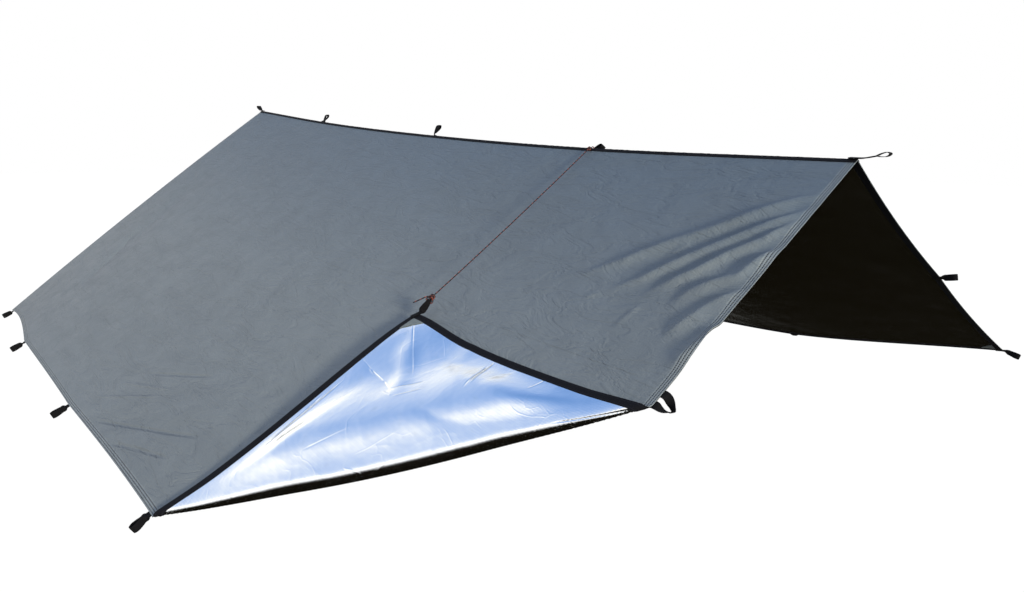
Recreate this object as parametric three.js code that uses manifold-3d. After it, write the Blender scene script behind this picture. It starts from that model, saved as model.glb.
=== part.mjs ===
// A square insulated tarp pitched over a ridge, with one corner turned over and tied up to the ridge.
// Millimetres, +Z up. X runs along the ridge from the far end to the near end, and -Y is the side
// with the turned corner. The origin is the middle of the ridge, where the tarp is held.
//
// The cloth is worked out from its flat cut: a point is (a, b), with a along the ridge and b across it,
// both from -HALF to HALF. cloth() gives the place in the pitched tarp of any flat point.

import * as THREE from 'three';
import { mergeVertices } from 'three/addons/utils/BufferGeometryUtils.js';
import Module from 'manifold-3d';

const wasm = await Module();
wasm.setup();

// Driving dimensions
const PITCH = 750;
const HALF = 2 * PITCH;
const SHEET = 1.5;
const TAPE = 1.2;
const GAP = 0.3;
const TAPE_WIDTH = 18;
const RIDGE_TAPE_HALF = 11;
const PATCH = 0.8;
const PATCH_GAP = 0.6;
const PATCH_LEG = 45;
const WEBBING = 1.5;
const WEBBING_WIDTH = 18;
const CORD = 3;
const ROOT2 = Math.SQRT2;

// Webbing loops: how far the sewn base reaches back and out from its place, the length of the eye, and
// the width that the tied loop's webbing is bunched to
const BASE_BACK = 8;
const BASE_OUT = 16;
const EYE_LENGTH = 28;
const BUNCHED = 12;

// Tie-up cord: the radius of each knot, how deep the wraps lie in it, how far past the tied loop's eye the
// low knot is, the flat point under the high knot, and the cord's sag
const LOW_SIZE = 6.5;
const HIGH_SIZE = 4.5;
const WRAP_IN = 0.6;
const LOW_PAST_EYE = 9.5;
const HIGH_AT = { a: 731, b: -9 };
const CORD_SAG = 4;

// Fineness of the meshes: the flat cells, the longest edges, and the steps along the cord's parts
const CELL = 125;
const LONGEST_OPEN = 200;
const LONGEST_AT_FOLD = 100;
const LONGEST_TURNED = 90;
const LONGEST_FOLDED = 45;
const WIDE_FOLD = 50;
const FOLD_MARGIN = 40;
const TURNED_FROM = -60;
const AT_FOLD = 45;
const CORD_STEPS = 56;
const BIGHT_STEPS = 22;
const TAIL_STEPS = 8;
const ROUND_SEGMENTS = 8;

// Where the flat cut's loop points stand, in the ground's frame. Five stations along each row,
// from the far end to the near end. The two computed ones are filled in below.
const STATIONS = {
  nearHem: [
    { along: -1547, across: -1149, height: 2 },
    { along: -817, across: -1232, height: 37 },
    { along: -68, across: -1264, height: 22 },
    { along: 681, across: -1277, height: -14 },
    { along: 0, across: 0, height: 0 },
  ],
  nearMid: [
    { along: -1530, across: -578, height: 440 },
    { along: -784, across: -640, height: 392 },
    { along: -40, across: -652, height: 350 },
    { along: 0, across: 0, height: 0 },
    { along: 1442, across: -626, height: 286 },
  ],
  ridge: [
    { along: -1499, across: 0, height: 858 },
    { along: -750, across: -10, height: 797 },
    { along: -3, across: 0, height: 755 },
    { along: 744, across: -10, height: 732 },
    { along: 1499, across: 0, height: 728 },
  ],
  farMid: [
    { along: -1484, across: 600, height: 410 },
    { along: -738, across: 590, height: 375 },
    { along: 5, across: 605, height: 320 },
    { along: 750, across: 600, height: 325 },
    { along: 1477, across: 664, height: 384 },
  ],
  farHem: [
    { along: -1468, across: 1201, height: 1 },
    { along: -725, across: 1214, height: -10 },
    { along: 15, across: 1231, height: -45 },
    { along: 759, across: 1243, height: -36 },
    { along: 1495, across: 1331, height: 42 },
  ],
};

// The turned corner: where its tip lies, and how far it stands off the panel under it
const TIP = new THREE.Vector3(716, -632, 330);
const TIP_LIFT = 22;
const HEM_LIFT = 6;
const INNER_LIFT = 16;
const HEM_REACH = 120;
const TIP_FROM = 380;
const TIP_OVER = 150;
const TAUT_LIFT = 16;
const TAUT_SKEW = 2;
const TAUT_REACH = 250;
const FOLD_OUT = 3 * PITCH;
const FOLD_LENGTH = PITCH * ROOT2;
const FOLD_RADIUS = 15;
const FOLD_RADIUS_END = 5;
const RADIUS_GROWS = 3.2;
const CURL_BLEND = 80;

// Past the fold the cloth swells up before it settles. The swell starts and ends within these lengths of
// the fold's ends. It is narrow at the near hem, widens along the fold and narrows to the right side's loop.
const SWELL = 18;
const SWELL_STARTS = 300;
const SWELL_ENDS = 200;
const SWELL_NARROW = 60;
const SWELL_WIDER = 90;
const SWELL_WIDENS = 450;
const SWELL_AT_LOOP = 25;
const SWELL_SPREAD = 0.32;
const SETTLES = 180;

// Slack hems draw in between two loops, by depth at their middle
const DRAWN_HEMS = [
  { side: 'near', from: -1500, to: -750, depth: 20 },
  { side: 'near', from: -750, to: 0, depth: 4 },
  { side: 'near', from: 0, to: 750, depth: 4 },
  { side: 'right', from: -1500, to: -750, depth: 18 },
  { side: 'right', from: 0, to: 750, depth: 6 },
  { side: 'right', from: 750, to: 1500, depth: 6 },
  { side: 'left', from: -1500, to: 0, depth: 8 },
  { side: 'left', from: 0, to: 1500, depth: 12 },
  { side: 'far', from: -1500, to: -750, depth: 14 },
  { side: 'far', from: -750, to: 0, depth: 14 },
  { side: 'far', from: 0, to: 750, depth: 14 },
  { side: 'far', from: 750, to: 1500, depth: 6 },
];
const DRAW_REACH = 350;

// Main folds of the cloth, as soft ridges (or troughs, where rise is below zero) on flat points
const FOLDS = [
  { fromA: 1505, fromB: -105, toA: 1080, toB: -485, width: 17, rise: 6 },
  { fromA: 1505, fromB: -165, toA: 1180, toB: -520, width: 15, rise: 5 },
  { fromA: 1495, fromB: -215, toA: 1265, toB: -530, width: 14, rise: 5 },
  { fromA: 1505, fromB: -300, toA: 1350, toB: -535, width: 15, rise: 5 },
  { fromA: 1490, fromB: -430, toA: 1400, toB: -620, width: 18, rise: 4 },
  { fromA: 1510, fromB: -520, toA: 1465, toB: -690, width: 24, rise: 4 },
  { fromA: 170, fromB: -1465, toA: 620, toB: -1290, width: 30, rise: -6 },
  { fromA: -1290, fromB: -480, toA: -980, toB: -1240, width: 60, rise: -7 },
  { fromA: 1000, fromB: -1430, toA: 1430, toB: -1000, width: 34, rise: 4 },
  { fromA: 1130, fromB: -1440, toA: 1440, toB: -1130, width: 30, rise: -4 },
  { fromA: 1440, fromB: -1440, toA: 1250, toB: -1250, width: 24, rise: 5 },
];
const FADE_IN = 0.25;
const FADE_OUT = 0.4;

function station(row, index) {
  const s = STATIONS[row][index];
  return new THREE.Vector3(s.along, s.across, s.height);
}

function rowPoints(row) {
  return STATIONS[row].map((s, index) => station(row, index));
}

const ROWS = {};
for (const row of Object.keys(STATIONS)) ROWS[row] = rowPoints(row);

// The panel under the turned corner hangs TIP_LIFT below the tip, and the hem line beyond the fold
// carries on straight from the ridge end through the side's middle loop.
{
  const down = ROWS.ridge[3];
  const side = ROWS.nearMid[4];
  const foot = ROWS.nearHem[3];
  const up = new THREE.Vector3().subVectors(foot, down).cross(new THREE.Vector3().subVectors(side, down));
  up.normalize();
  if (up.z < 0) up.negate();
  ROWS.nearMid[3] = TIP.clone().addScaledVector(up, -TIP_LIFT);
  ROWS.nearHem[4] = side.clone().multiplyScalar(2).sub(ROWS.ridge[4]);
}

function smooth(x) {
  const q = Math.min(1, Math.max(0, x));
  return q * q * (3 - 2 * q);
}

// Catmull-Rom curve through a row's five stations
function alongRow(row, a) {
  const points = ROWS[row];
  const place = (a + HALF) / PITCH;
  const i = Math.min(3, Math.max(0, Math.floor(place)));
  const f = place - i;
  const p1 = points[i];
  const p2 = points[i + 1];
  const p0 = i > 0 ? points[i - 1] : p1.clone().multiplyScalar(2).sub(p2);
  const p3 = i < 3 ? points[i + 2] : p2.clone().multiplyScalar(2).sub(p1);
  const mix = (axis) => 0.5 * (2 * p1[axis] + (p2[axis] - p0[axis]) * f
    + (2 * p0[axis] - 5 * p1[axis] + 4 * p2[axis] - p3[axis]) * f * f
    + (3 * p1[axis] - p0[axis] - 3 * p2[axis] + p3[axis]) * f * f * f);
  return new THREE.Vector3(mix('x'), mix('y'), mix('z'));
}

// The panels without folds: each side of the ridge is a parabola through ridge, middle and hem
function panel(a, b) {
  const x = Math.abs(b) / HALF;
  const near = b < 0;
  const top = alongRow('ridge', a).multiplyScalar((1 - x) * (1 - 2 * x));
  const middle = alongRow(near ? 'nearMid' : 'farMid', a).multiplyScalar(4 * x * (1 - x));
  const hem = alongRow(near ? 'nearHem' : 'farHem', a).multiplyScalar(x * (2 * x - 1));
  return top.add(middle).add(hem);
}

// Outward normal of a surface given by a function of (a, b)
function normalOf(surface, a, b) {
  const h = 0.5;
  const low = b > 0 && b < h ? 0 : b - h;
  const high = b < 0 && b > -h ? 0 : b + h;
  const da = surface(a + h, b).sub(surface(a - h, b));
  const db = surface(a, high).sub(surface(a, low));
  return da.cross(db).normalize();
}

function foldHeight(a, b) {
  let height = 0;
  for (const fold of FOLDS) {
    const da = fold.toA - fold.fromA;
    const db = fold.toB - fold.fromB;
    const length2 = da * da + db * db;
    const q = ((a - fold.fromA) * da + (b - fold.fromB) * db) / length2;
    if (q <= 0 || q >= 1) continue;
    const off = ((a - fold.fromA) * db - (b - fold.fromB) * da) / Math.sqrt(length2);
    const fade = smooth(q / FADE_IN) * smooth((1 - q) / FADE_OUT);
    height += fold.rise * fade * Math.exp(-((off / fold.width) ** 2));
  }
  return height;
}

function drawIn(a, b) {
  let da = 0;
  let db = 0;
  for (const hem of DRAWN_HEMS) {
    const alongSide = hem.side === 'near' || hem.side === 'far';
    const place = alongSide ? a : b;
    const q = (place - hem.from) / (hem.to - hem.from);
    if (q <= 0 || q >= 1) continue;
    const across = { near: b, far: -b, left: a, right: -a }[hem.side];
    const shift = hem.depth * 4 * q * (1 - q) * (1 - smooth((across + HALF) / DRAW_REACH));
    if (hem.side === 'near') db += shift;
    if (hem.side === 'far') db -= shift;
    if (hem.side === 'left') da += shift;
    if (hem.side === 'right') da -= shift;
  }
  return [a + da, b + db];
}

// Turned corner, in its own flat measures: beyond is the distance past the fold line, and along the
// distance along it from the near hem
function foldPlace(a, b) {
  return {
    beyond: (a - b - FOLD_OUT) / ROOT2,
    along: (a - PITCH + b + HALF) / ROOT2,
  };
}

function foldRadius(along) {
  const q = Math.min(1, Math.max(0, along / FOLD_LENGTH));
  return FOLD_RADIUS_END + (FOLD_RADIUS - FOLD_RADIUS_END) * smooth(RADIUS_GROWS * Math.min(q, 1 - q));
}

function swellWidth(along) {
  const left = SWELL_NARROW + SWELL_WIDER * smooth(along / SWELL_WIDENS);
  const right = SWELL_AT_LOOP + SWELL_SPREAD * Math.max(FOLD_LENGTH - along, 0);
  return Math.min(left, right);
}

// How far the turned corner stands off the panel under it. Its near hem is pulled straight between its
// loops, over the hollow of the panel.
function turnedLift(along, beyond, radius) {
  const width = swellWidth(along);
  const swell = SWELL * smooth(along / SWELL_STARTS) * smooth((FOLD_LENGTH - along) / SWELL_ENDS);
  const crest = 2 * radius + swell * smooth(beyond / width);
  const inner = crest + (INNER_LIFT - crest) * smooth((beyond - width) / SETTLES);
  const q = Math.min(1, Math.max(0, (2 * beyond) / FOLD_LENGTH));
  const byNearHem = smooth(1 - (along - beyond) / ROOT2 / TAUT_REACH);
  const hem = HEM_LIFT + (TIP_LIFT - HEM_LIFT) * q * byNearHem;
  const toHem = Math.min(along - beyond, FOLD_LENGTH - along - beyond) / ROOT2;
  const lift = hem + (inner - hem) * smooth(toHem / HEM_REACH);
  const tip = smooth((beyond - TIP_FROM) / TIP_OVER);
  const skewed = q ** TAUT_SKEW;
  const taut = TAUT_LIFT * 4 * skewed * (1 - skewed) * byNearHem;
  return lift * (1 - tip) + TIP_LIFT * tip + taut;
}

function cloth(flatA, flatB) {
  const [a, b] = drawIn(flatA, flatB);
  const { beyond, along } = foldPlace(a, b);
  const radius = foldRadius(along);
  const start = (-Math.PI * radius) / 2;
  const height = foldHeight(flatA, flatB);
  if (beyond <= start) {
    return panel(a, b).addScaledVector(normalOf(panel, a, b), height);
  }
  const footBeyond = beyond > -start ? -beyond : start;
  const step = (footBeyond - beyond) / ROOT2;
  const footA = a + step;
  const footB = b - step;
  const under = foldHeight(footA, footB);
  const up = normalOf(panel, footA, footB);
  const foot = panel(footA, footB).addScaledVector(up, under);
  const out = panel(footA + 1, footB - 1).sub(panel(footA - 1, footB + 1)).normalize();
  if (beyond <= -start) {
    const turn = (beyond - start) / radius;
    foot.addScaledVector(out, radius * Math.sin(turn));
    return foot.addScaledVector(up, radius * (1 - Math.cos(turn)));
  }
  const blend = smooth((beyond + start) / CURL_BLEND);
  const lift = 2 * radius * (1 - blend) + turnedLift(along, beyond, radius) * blend;
  return foot.addScaledVector(up, lift + height * blend);
}

// Flat mesh: square cells, cut by straight lines and refined where the cloth bends
function gridLines(extra) {
  const lines = [-HALF, -HALF + TAPE_WIDTH, HALF - TAPE_WIDTH, HALF, ...extra];
  for (let x = -HALF + CELL; x < HALF - 1; x += CELL) lines.push(x);
  return [...new Set(lines)].sort((p, q) => p - q);
}

function gridCells() {
  const linesA = gridLines([]);
  const linesB = gridLines([-RIDGE_TAPE_HALF, RIDGE_TAPE_HALF]);
  const cells = [];
  for (let i = 0; i + 1 < linesA.length; i += 1) {
    for (let j = 0; j + 1 < linesB.length; j += 1) {
      const [a0, a1] = [linesA[i], linesA[i + 1]];
      const [b0, b1] = [linesB[j], linesB[j + 1]];
      cells.push([[a0, b0], [a1, b0], [a1, b1], [a0, b1]]);
    }
  }
  return cells;
}

// Cuts every polygon along the line where ka * a + kb * b = level
function cutCells(cells, ka, kb, level) {
  const result = [];
  for (const cell of cells) {
    const side = cell.map(([a, b]) => ka * a + kb * b - level);
    const clear = 1e-6;
    if (side.every((d) => d > -clear) || side.every((d) => d < clear)) {
      result.push(cell);
      continue;
    }
    const low = [];
    const high = [];
    cell.forEach((point, i) => {
      const next = (i + 1) % cell.length;
      if (side[i] < clear) low.push(point);
      if (side[i] > -clear) high.push(point);
      if ((side[i] < -clear && side[next] > clear) || (side[i] > clear && side[next] < -clear)) {
        const f = side[i] / (side[i] - side[next]);
        const crossing = point.map((v, k) => v + f * (cell[next][k] - v));
        low.push(crossing);
        high.push(crossing);
      }
    });
    result.push(low, high);
  }
  return result;
}

function fan(cell) {
  const triangles = [];
  for (let i = 1; i + 1 < cell.length; i += 1) triangles.push([cell[0], cell[i], cell[i + 1]]);
  return triangles;
}

function pointKey(point) {
  return `${Math.round(point[0] * 1000)},${Math.round(point[1] * 1000)}`;
}

function edgeKey(p, q) {
  const keys = [pointKey(p), pointKey(q)].sort();
  return keys.join(' ');
}

// Splits every edge that is longer than longest(middle of the edge), until none is
function refine(triangles, longest) {
  let current = triangles;
  for (;;) {
    const middles = new Map();
    for (const triangle of current) {
      triangle.forEach((p, i) => {
        const q = triangle[(i + 1) % 3];
        const middle = [(p[0] + q[0]) / 2, (p[1] + q[1]) / 2];
        if (Math.hypot(p[0] - q[0], p[1] - q[1]) > longest(middle)) middles.set(edgeKey(p, q), middle);
      });
    }
    if (middles.size === 0) return current;
    current = current.flatMap((triangle) => splitTriangle(triangle, middles));
  }
}

function splitTriangle(triangle, middles) {
  const split = triangle.map((p, i) => middles.get(edgeKey(p, triangle[(i + 1) % 3])));
  const count = split.filter(Boolean).length;
  if (count === 0) return [triangle];
  if (count === 3) {
    const [u, v, w] = split;
    const [p, q, r] = triangle;
    return [[p, u, w], [u, q, v], [w, v, r], [u, v, w]];
  }
  const first = count === 1 ? split.findIndex(Boolean) : split.findIndex((m) => !m);
  const [p, q, r] = [0, 1, 2].map((k) => triangle[(first + k) % 3]);
  if (count === 1) return [[p, split[first], r], [split[first], q, r]];
  const v = split[(first + 1) % 3];
  const w = split[(first + 2) % 3];
  return [[r, w, v], [p, q, v], [p, v, w]];
}

function distanceToFold(fold, a, b) {
  const da = fold.toA - fold.fromA;
  const db = fold.toB - fold.fromB;
  const q = ((a - fold.fromA) * da + (b - fold.fromB) * db) / (da * da + db * db);
  const clamped = Math.min(1, Math.max(0, q));
  return Math.hypot(a - fold.fromA - clamped * da, b - fold.fromB - clamped * db);
}

// Lines across the curl, as distances past the fold line
const FOLD_CUTS = [-23.6, -15, -7, 0, 7, 15, 23.6];
function longestEdge([a, b]) {
  let longest = LONGEST_OPEN;
  const { beyond } = foldPlace(a, b);
  if (beyond > TURNED_FROM) longest = LONGEST_TURNED;
  if (Math.abs(beyond) < AT_FOLD) longest = LONGEST_AT_FOLD;
  for (const fold of FOLDS) {
    const close = distanceToFold(fold, a, b) < fold.width + FOLD_MARGIN;
    if (fold.width < WIDE_FOLD && close) longest = Math.min(longest, LONGEST_FOLDED);
  }
  return longest;
}

const PATCH_LINE = 2 * (HALF - TAPE_WIDTH) - PATCH_LEG;
const CORNERS = [
  { name: 'near_left', a: -1, b: -1 },
  { name: 'turned', a: 1, b: -1 },
  { name: 'far_right', a: 1, b: 1 },
  { name: 'far_left', a: -1, b: 1 },
];

function flatMesh() {
  let cells = gridCells();
  for (const beyond of FOLD_CUTS) cells = cutCells(cells, 1, -1, FOLD_OUT + beyond * ROOT2);
  for (const corner of CORNERS) cells = cutCells(cells, corner.a, corner.b, PATCH_LINE);
  return refine(cells.flatMap(fan), longestEdge);
}

const FLAT = flatMesh();

function centre(triangle) {
  return [0, 1].map((k) => (triangle[0][k] + triangle[1][k] + triangle[2][k]) / 3);
}

// A closed sheet over some of the flat mesh's triangles, between two heights above the cloth's middle.
// nudge moves a flat point a little, where the sheet parts from its neighbour.
function sheet(triangles, low, high, nudge = (point) => point) {
  const index = new Map();
  const lower = [];
  const upper = [];
  const vertex = (point) => {
    const name = pointKey(point);
    if (!index.has(name)) {
      const [a, b] = nudge(point);
      const place = cloth(a, b);
      const up = normalOf(cloth, a, b);
      index.set(name, lower.length);
      lower.push(place.clone().addScaledVector(up, low));
      upper.push(place.clone().addScaledVector(up, high));
    }
    return index.get(name);
  };
  const faces = triangles.map((triangle) => triangle.map(vertex));
  const rim = new Map();
  for (const [p, q, r] of faces) {
    for (const [from, to] of [[p, q], [q, r], [r, p]]) {
      if (rim.has(`${to},${from}`)) rim.delete(`${to},${from}`);
      else rim.set(`${from},${to}`, [from, to]);
    }
  }
  const count = lower.length;
  const indices = [];
  for (const [p, q, r] of faces) {
    indices.push(p + count, q + count, r + count);
    indices.push(p, r, q);
  }
  for (const [from, to] of rim.values()) {
    indices.push(from, to, to + count);
    indices.push(from, to + count, from + count);
  }
  return closedGeometry([...lower, ...upper], indices);
}

function closedGeometry(points, indices) {
  const geometry = new THREE.BufferGeometry();
  geometry.setAttribute('position', new THREE.Float32BufferAttribute(points.flatMap((p) => p.toArray()), 3));
  geometry.setIndex(indices);
  return geometry;
}

// Materials
const OUTER = new THREE.MeshStandardMaterial({ color: 0x5f6a6e, roughness: 0.55, metalness: 0.0 });
const BLACK = new THREE.MeshStandardMaterial({ color: 0x0d0e12, roughness: 0.8, metalness: 0.0 });
const PATCH_CLOTH = new THREE.MeshStandardMaterial({ color: 0x667078, roughness: 0.6, metalness: 0.0 });
const CORD_BLACK = new THREE.MeshStandardMaterial({ color: 0x2a1512, roughness: 0.75, metalness: 0.0 });

const tarp = new THREE.Group();
const pitched = new THREE.Group();
pitched.position.copy(cloth(0, 0)).negate();
tarp.add(pitched);

function addPiece(name, geometry, material) {
  const mesh = new THREE.Mesh(geometry, material);
  mesh.name = name;
  pitched.add(mesh);
}

addPiece('cloth', sheet(FLAT, -SHEET / 2, SHEET / 2), OUTER);

// Ridge tape, on the outer face
const RIDGE_TRIANGLES = FLAT.filter((triangle) => Math.abs(centre(triangle)[1]) < RIDGE_TAPE_HALF);
const OVER = SHEET / 2 + GAP;
addPiece('ridge_tape', sheet(RIDGE_TRIANGLES, OVER, OVER + TAPE), BLACK);

// Edge tapes, on the inner face. The near and far ones run the full width, the others stop at them.
const BAND = HALF - TAPE_WIDTH;
function edgeTape(name, inBand, stops) {
  const triangles = FLAT.filter((triangle) => {
    const [a, b] = centre(triangle);
    return inBand(a, b) && !(stops && Math.abs(b) > BAND);
  });
  const nudge = ([a, b]) => {
    if (!stops || Math.abs(Math.abs(b) - BAND) > 0.01) return [a, b];
    return [a, Math.sign(b) * (BAND - GAP)];
  };
  addPiece(name, sheet(triangles, -OVER - TAPE, -OVER, nudge), BLACK);
}
edgeTape('tape_near', (a, b) => b < -BAND, false);
edgeTape('tape_far', (a, b) => b > BAND, false);
edgeTape('tape_left', (a) => a < -BAND, true);
edgeTape('tape_right', (a) => a > BAND, true);

// Corner patches, inside the tapes' corners on the inner face
for (const corner of CORNERS) {
  const triangles = FLAT.filter((triangle) => {
    const [a, b] = centre(triangle);
    const inside = Math.abs(a) < BAND && Math.abs(b) < BAND;
    return inside && corner.a * a + corner.b * b > PATCH_LINE;
  });
  const fromBand = (v) => (Math.abs(Math.abs(v) - BAND) < 0.01 ? Math.sign(v) * (BAND - GAP) : v);
  const nudge = (point) => point.map(fromBand);
  const below = -SHEET / 2 - PATCH_GAP;
  addPiece(`patch_${corner.name}`, sheet(triangles, below - PATCH, below, nudge), PATCH_CLOTH);
}

// Webbing loops. place is the flat point that the base is sewn at, out the way the loop points,
// eye the axis that a line would pass along, reach the length past the base, open the eye's half height.
// The ridge's loops are on the outer face, the others on the inner face.
const RIDGE_LOOPS = [
  { name: 'ridge_far_end', place: [-1489, 0], out: [-0.8, 0, 0.6], eye: [0, 1, 0], reach: 50, open: 5 },
  {
    name: 'ridge_near_end', place: [1489, 0], out: [0.98, 0, 0.2],
    eye: [0, 1, 0], reach: 80, open: 4.6,
  },
  { name: 'ridge_1', place: [-872, 13], out: [0, 0.6, 0.8], eye: [1, 0, 0], reach: 62, open: 5.4 },
  { name: 'ridge_2', place: [-46, 13], out: [0, 0.6, 0.8], eye: [1, 0, 0], reach: 62, open: 5.4 },
  {
    name: 'ridge_3', place: [698, 22], out: [0.88, 0.2, 0.4],
    eye: [0.1, 0.86, -0.5], reach: 58, open: 5.4,
  },
];
const EDGE_LOOPS = [
  {
    name: 'near_left', place: [-1488, -1488], out: [-0.1, -0.9, -0.4],
    eye: [0, -0.4, 0.9], reach: 54, open: 5.4,
  },
  {
    name: 'near_1', place: [-750, -1489], out: [0, -0.91, -0.41],
    eye: [0, -0.45, 0.89], reach: 58, open: 5.4,
  },
  {
    name: 'near_2', place: [0, -1489], out: [0, -0.91, -0.41],
    eye: [0, -0.45, 0.89], reach: 58, open: 5.4,
  },
  {
    name: 'near_3', place: [722, -1489], out: [0.05, -0.85, -0.52],
    eye: [0, -0.45, 0.89], reach: 56, open: 6,
  },
  {
    name: 'turned', place: [1488, -1488], out: [0.26, 0.55, 0.79],
    eye: [0.64, 0.52, -0.57], reach: 56, open: 4.6,
  },
  { name: 'right_near', place: [1489, -722], out: [0.58, 0.44, -0.69], reach: 31, spread: 14 },
  { name: 'right_far', place: [1489, 750], out: [0.97, 0, 0.2], eye: [0, 0, 1], reach: 58, open: 5.4 },
  {
    name: 'far_right', place: [1488, 1488], out: [0.96, 0, -0.27],
    eye: [0, 0, 1], reach: 68, open: 5.4,
  },
  { name: 'far_1', place: [-750, 1489], out: [0, 0.98, 0.2], eye: [1, 0, 0], reach: 58, open: 5.4 },
  { name: 'far_2', place: [0, 1489], out: [0, 0.98, 0.2], eye: [1, 0, 0], reach: 58, open: 5.4 },
  { name: 'far_3', place: [750, 1489], out: [0, 0.98, 0.2], eye: [1, 0, 0], reach: 58, open: 5.4 },
  {
    name: 'far_left', place: [-1488, 1488], out: [-0.95, 0, -0.3],
    eye: [0, 0, 1], reach: 58, open: 5.4,
  },
  {
    name: 'left_near', place: [-1489, -750], out: [-0.7, 0, -0.71],
    eye: [-0.71, 0, 0.7], reach: 58, open: 5.4,
  },
  {
    name: 'left_far', place: [-1489, 750], out: [-0.7, 0, -0.71],
    eye: [-0.71, 0, 0.7], reach: 58, open: 5.4,
  },
];
const LOOPS = [
  ...RIDGE_LOOPS.map((loop) => ({ ...loop, face: 1 })),
  ...EDGE_LOOPS.map((loop) => ({ ...loop, face: -1 })),
];
// One half of the eye's outline, as shares of its length and of its half height
const EYE_OUTLINE = [
  { length: 0, height: 0 },
  { length: 0.25, height: 0.5 },
  { length: 0.5, height: 0.86 },
  { length: 0.72, height: 1 },
  { length: 0.9, height: 0.7 },
  { length: 1, height: 0.24 },
];

function unit(list) {
  return new THREE.Vector3(...list).normalize();
}

// A frame made of a way along, a way across the webbing and the way through its thickness
function webbingFrame(along, acrossHint) {
  const through = new THREE.Vector3().crossVectors(acrossHint, along).normalize();
  const across = new THREE.Vector3().crossVectors(along, through).normalize();
  return { along, across, through };
}

// How a loop leaves the cloth: the way out in the cloth's own plane and the way it ends
function loopWays(loop) {
  const [a, b] = loop.place;
  const up = normalOf(cloth, a, b);
  const end = unit(loop.out);
  const flat = end.clone().addScaledVector(up, -end.dot(up)).normalize();
  return { foot: cloth(a, b), up, end, flat, beside: new THREE.Vector3().crossVectors(flat, up) };
}

// Stem of a loop between its base and its eye, by shares of its length and of its turn
const STEM = [
  { share: 0.35, bent: true, turn: 0.4 },
  { share: 0.3, bent: false, turn: 0.8 },
  { share: 0.35, bent: false, turn: 1 },
];

// The webbing's middle from its sewn base to the eye: places with a frame at each
function loopSpine(loop) {
  const { foot, up, end, flat, beside } = loopWays(loop);
  const place = foot.addScaledVector(up, loop.face * (SHEET / 2 + GAP + TAPE + GAP + WEBBING));
  const eye = unit(loop.eye);
  const start = webbingFrame(flat, beside);
  if (start.across.dot(eye) < 0) {
    start.across.negate();
    start.through.negate();
  }
  const finish = webbingFrame(end, eye);
  const length = loop.reach - BASE_OUT - EYE_LENGTH;
  const bend = flat.clone().add(end).normalize();
  const joints = [{ move: -BASE_BACK, way: flat, turn: 0 }, { move: BASE_BACK + BASE_OUT, way: flat, turn: 0 }];
  for (const part of STEM) {
    joints.push({ move: length * part.share, way: part.bent ? bend : end, turn: part.turn });
  }
  return joints.map((joint) => {
    place.addScaledVector(joint.way, joint.move);
    const along = start.along.clone().lerp(end, joint.turn).normalize();
    const frame = webbingFrame(along, start.across.clone().lerp(finish.across, joint.turn));
    return { place: place.clone(), ...frame };
  });
}

function inFrame(frame, along, across, through) {
  return frame.place.clone().addScaledVector(frame.along, along)
    .addScaledVector(frame.across, across).addScaledVector(frame.through, through);
}

function loopGeometry(loop, tipWidth) {
  const spine = loopSpine(loop);
  const points = [];
  const indices = [];
  const half = WEBBING_WIDTH / 2;
  for (const frame of spine) {
    for (const through of [WEBBING, 0, -WEBBING]) {
      points.push(inFrame(frame, 0, -half, through), inFrame(frame, 0, half, through));
    }
  }
  const eyeFrame = spine[spine.length - 1];
  const quad = (p, q, r, s) => indices.push(p, q, r, p, r, s);
  for (let k = 0; k + 1 < spine.length; k += 1) {
    const o = 6 * k;
    const n = o + 6;
    quad(o, o + 1, n + 1, n);
    quad(o + 1, o + 3, n + 3, n + 1);
    quad(o + 3, o + 5, n + 5, n + 3);
    quad(o + 5, o + 4, n + 4, n + 5);
    quad(o + 4, o + 2, n + 2, n + 4);
    quad(o + 2, o, n, n + 2);
  }
  quad(0, 2, 3, 1);
  quad(2, 4, 5, 3);
  // The eye: one closed band from the stem's upper layer round to its lower layer
  const last = 6 * (spine.length - 1);
  const outline = eyeOutline(loop.open);
  const ring = [[last, last + 1, last + 3, last + 2]];
  for (let k = 1; k + 1 < outline.length; k += 1) {
    const tangent = outline[k + 1].clone().sub(outline[k - 1]).normalize();
    const out = new THREE.Vector2(-tangent.y, tangent.x);
    const reach = outline[k].x / EYE_LENGTH;
    const width = half + (tipWidth / 2 - half) * smooth(reach);
    const row = [];
    for (const side of [1, -1]) {
      const spot = outline[k].clone().addScaledVector(out, (side * WEBBING) / 2);
      row.push(points.length, points.length + 1);
      points.push(inFrame(eyeFrame, spot.x, -width, spot.y), inFrame(eyeFrame, spot.x, width, spot.y));
    }
    ring.push([row[0], row[1], row[3], row[2]]);
  }
  ring.push([last + 4, last + 5, last + 3, last + 2]);
  for (let k = 0; k + 1 < ring.length; k += 1) {
    const [p, q] = [ring[k], ring[k + 1]];
    for (let i = 0; i < 4; i += 1) quad(p[i], p[(i + 1) % 4], q[(i + 1) % 4], q[i]);
  }
  return closedGeometry(points, indices);
}

// Middle line of the webbing round the eye, from the upper layer to the lower one
function eyeOutline(open) {
  const upper = EYE_OUTLINE.map((row) => new THREE.Vector2(
    row.length * EYE_LENGTH,
    WEBBING / 2 + row.height * (open - WEBBING / 2),
  ));
  const tip = new THREE.Vector2(EYE_LENGTH + WEBBING / 2, 0);
  const lower = upper.map((p) => new THREE.Vector2(p.x, -p.y)).reverse();
  return [...upper, tip, ...lower];
}

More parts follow.
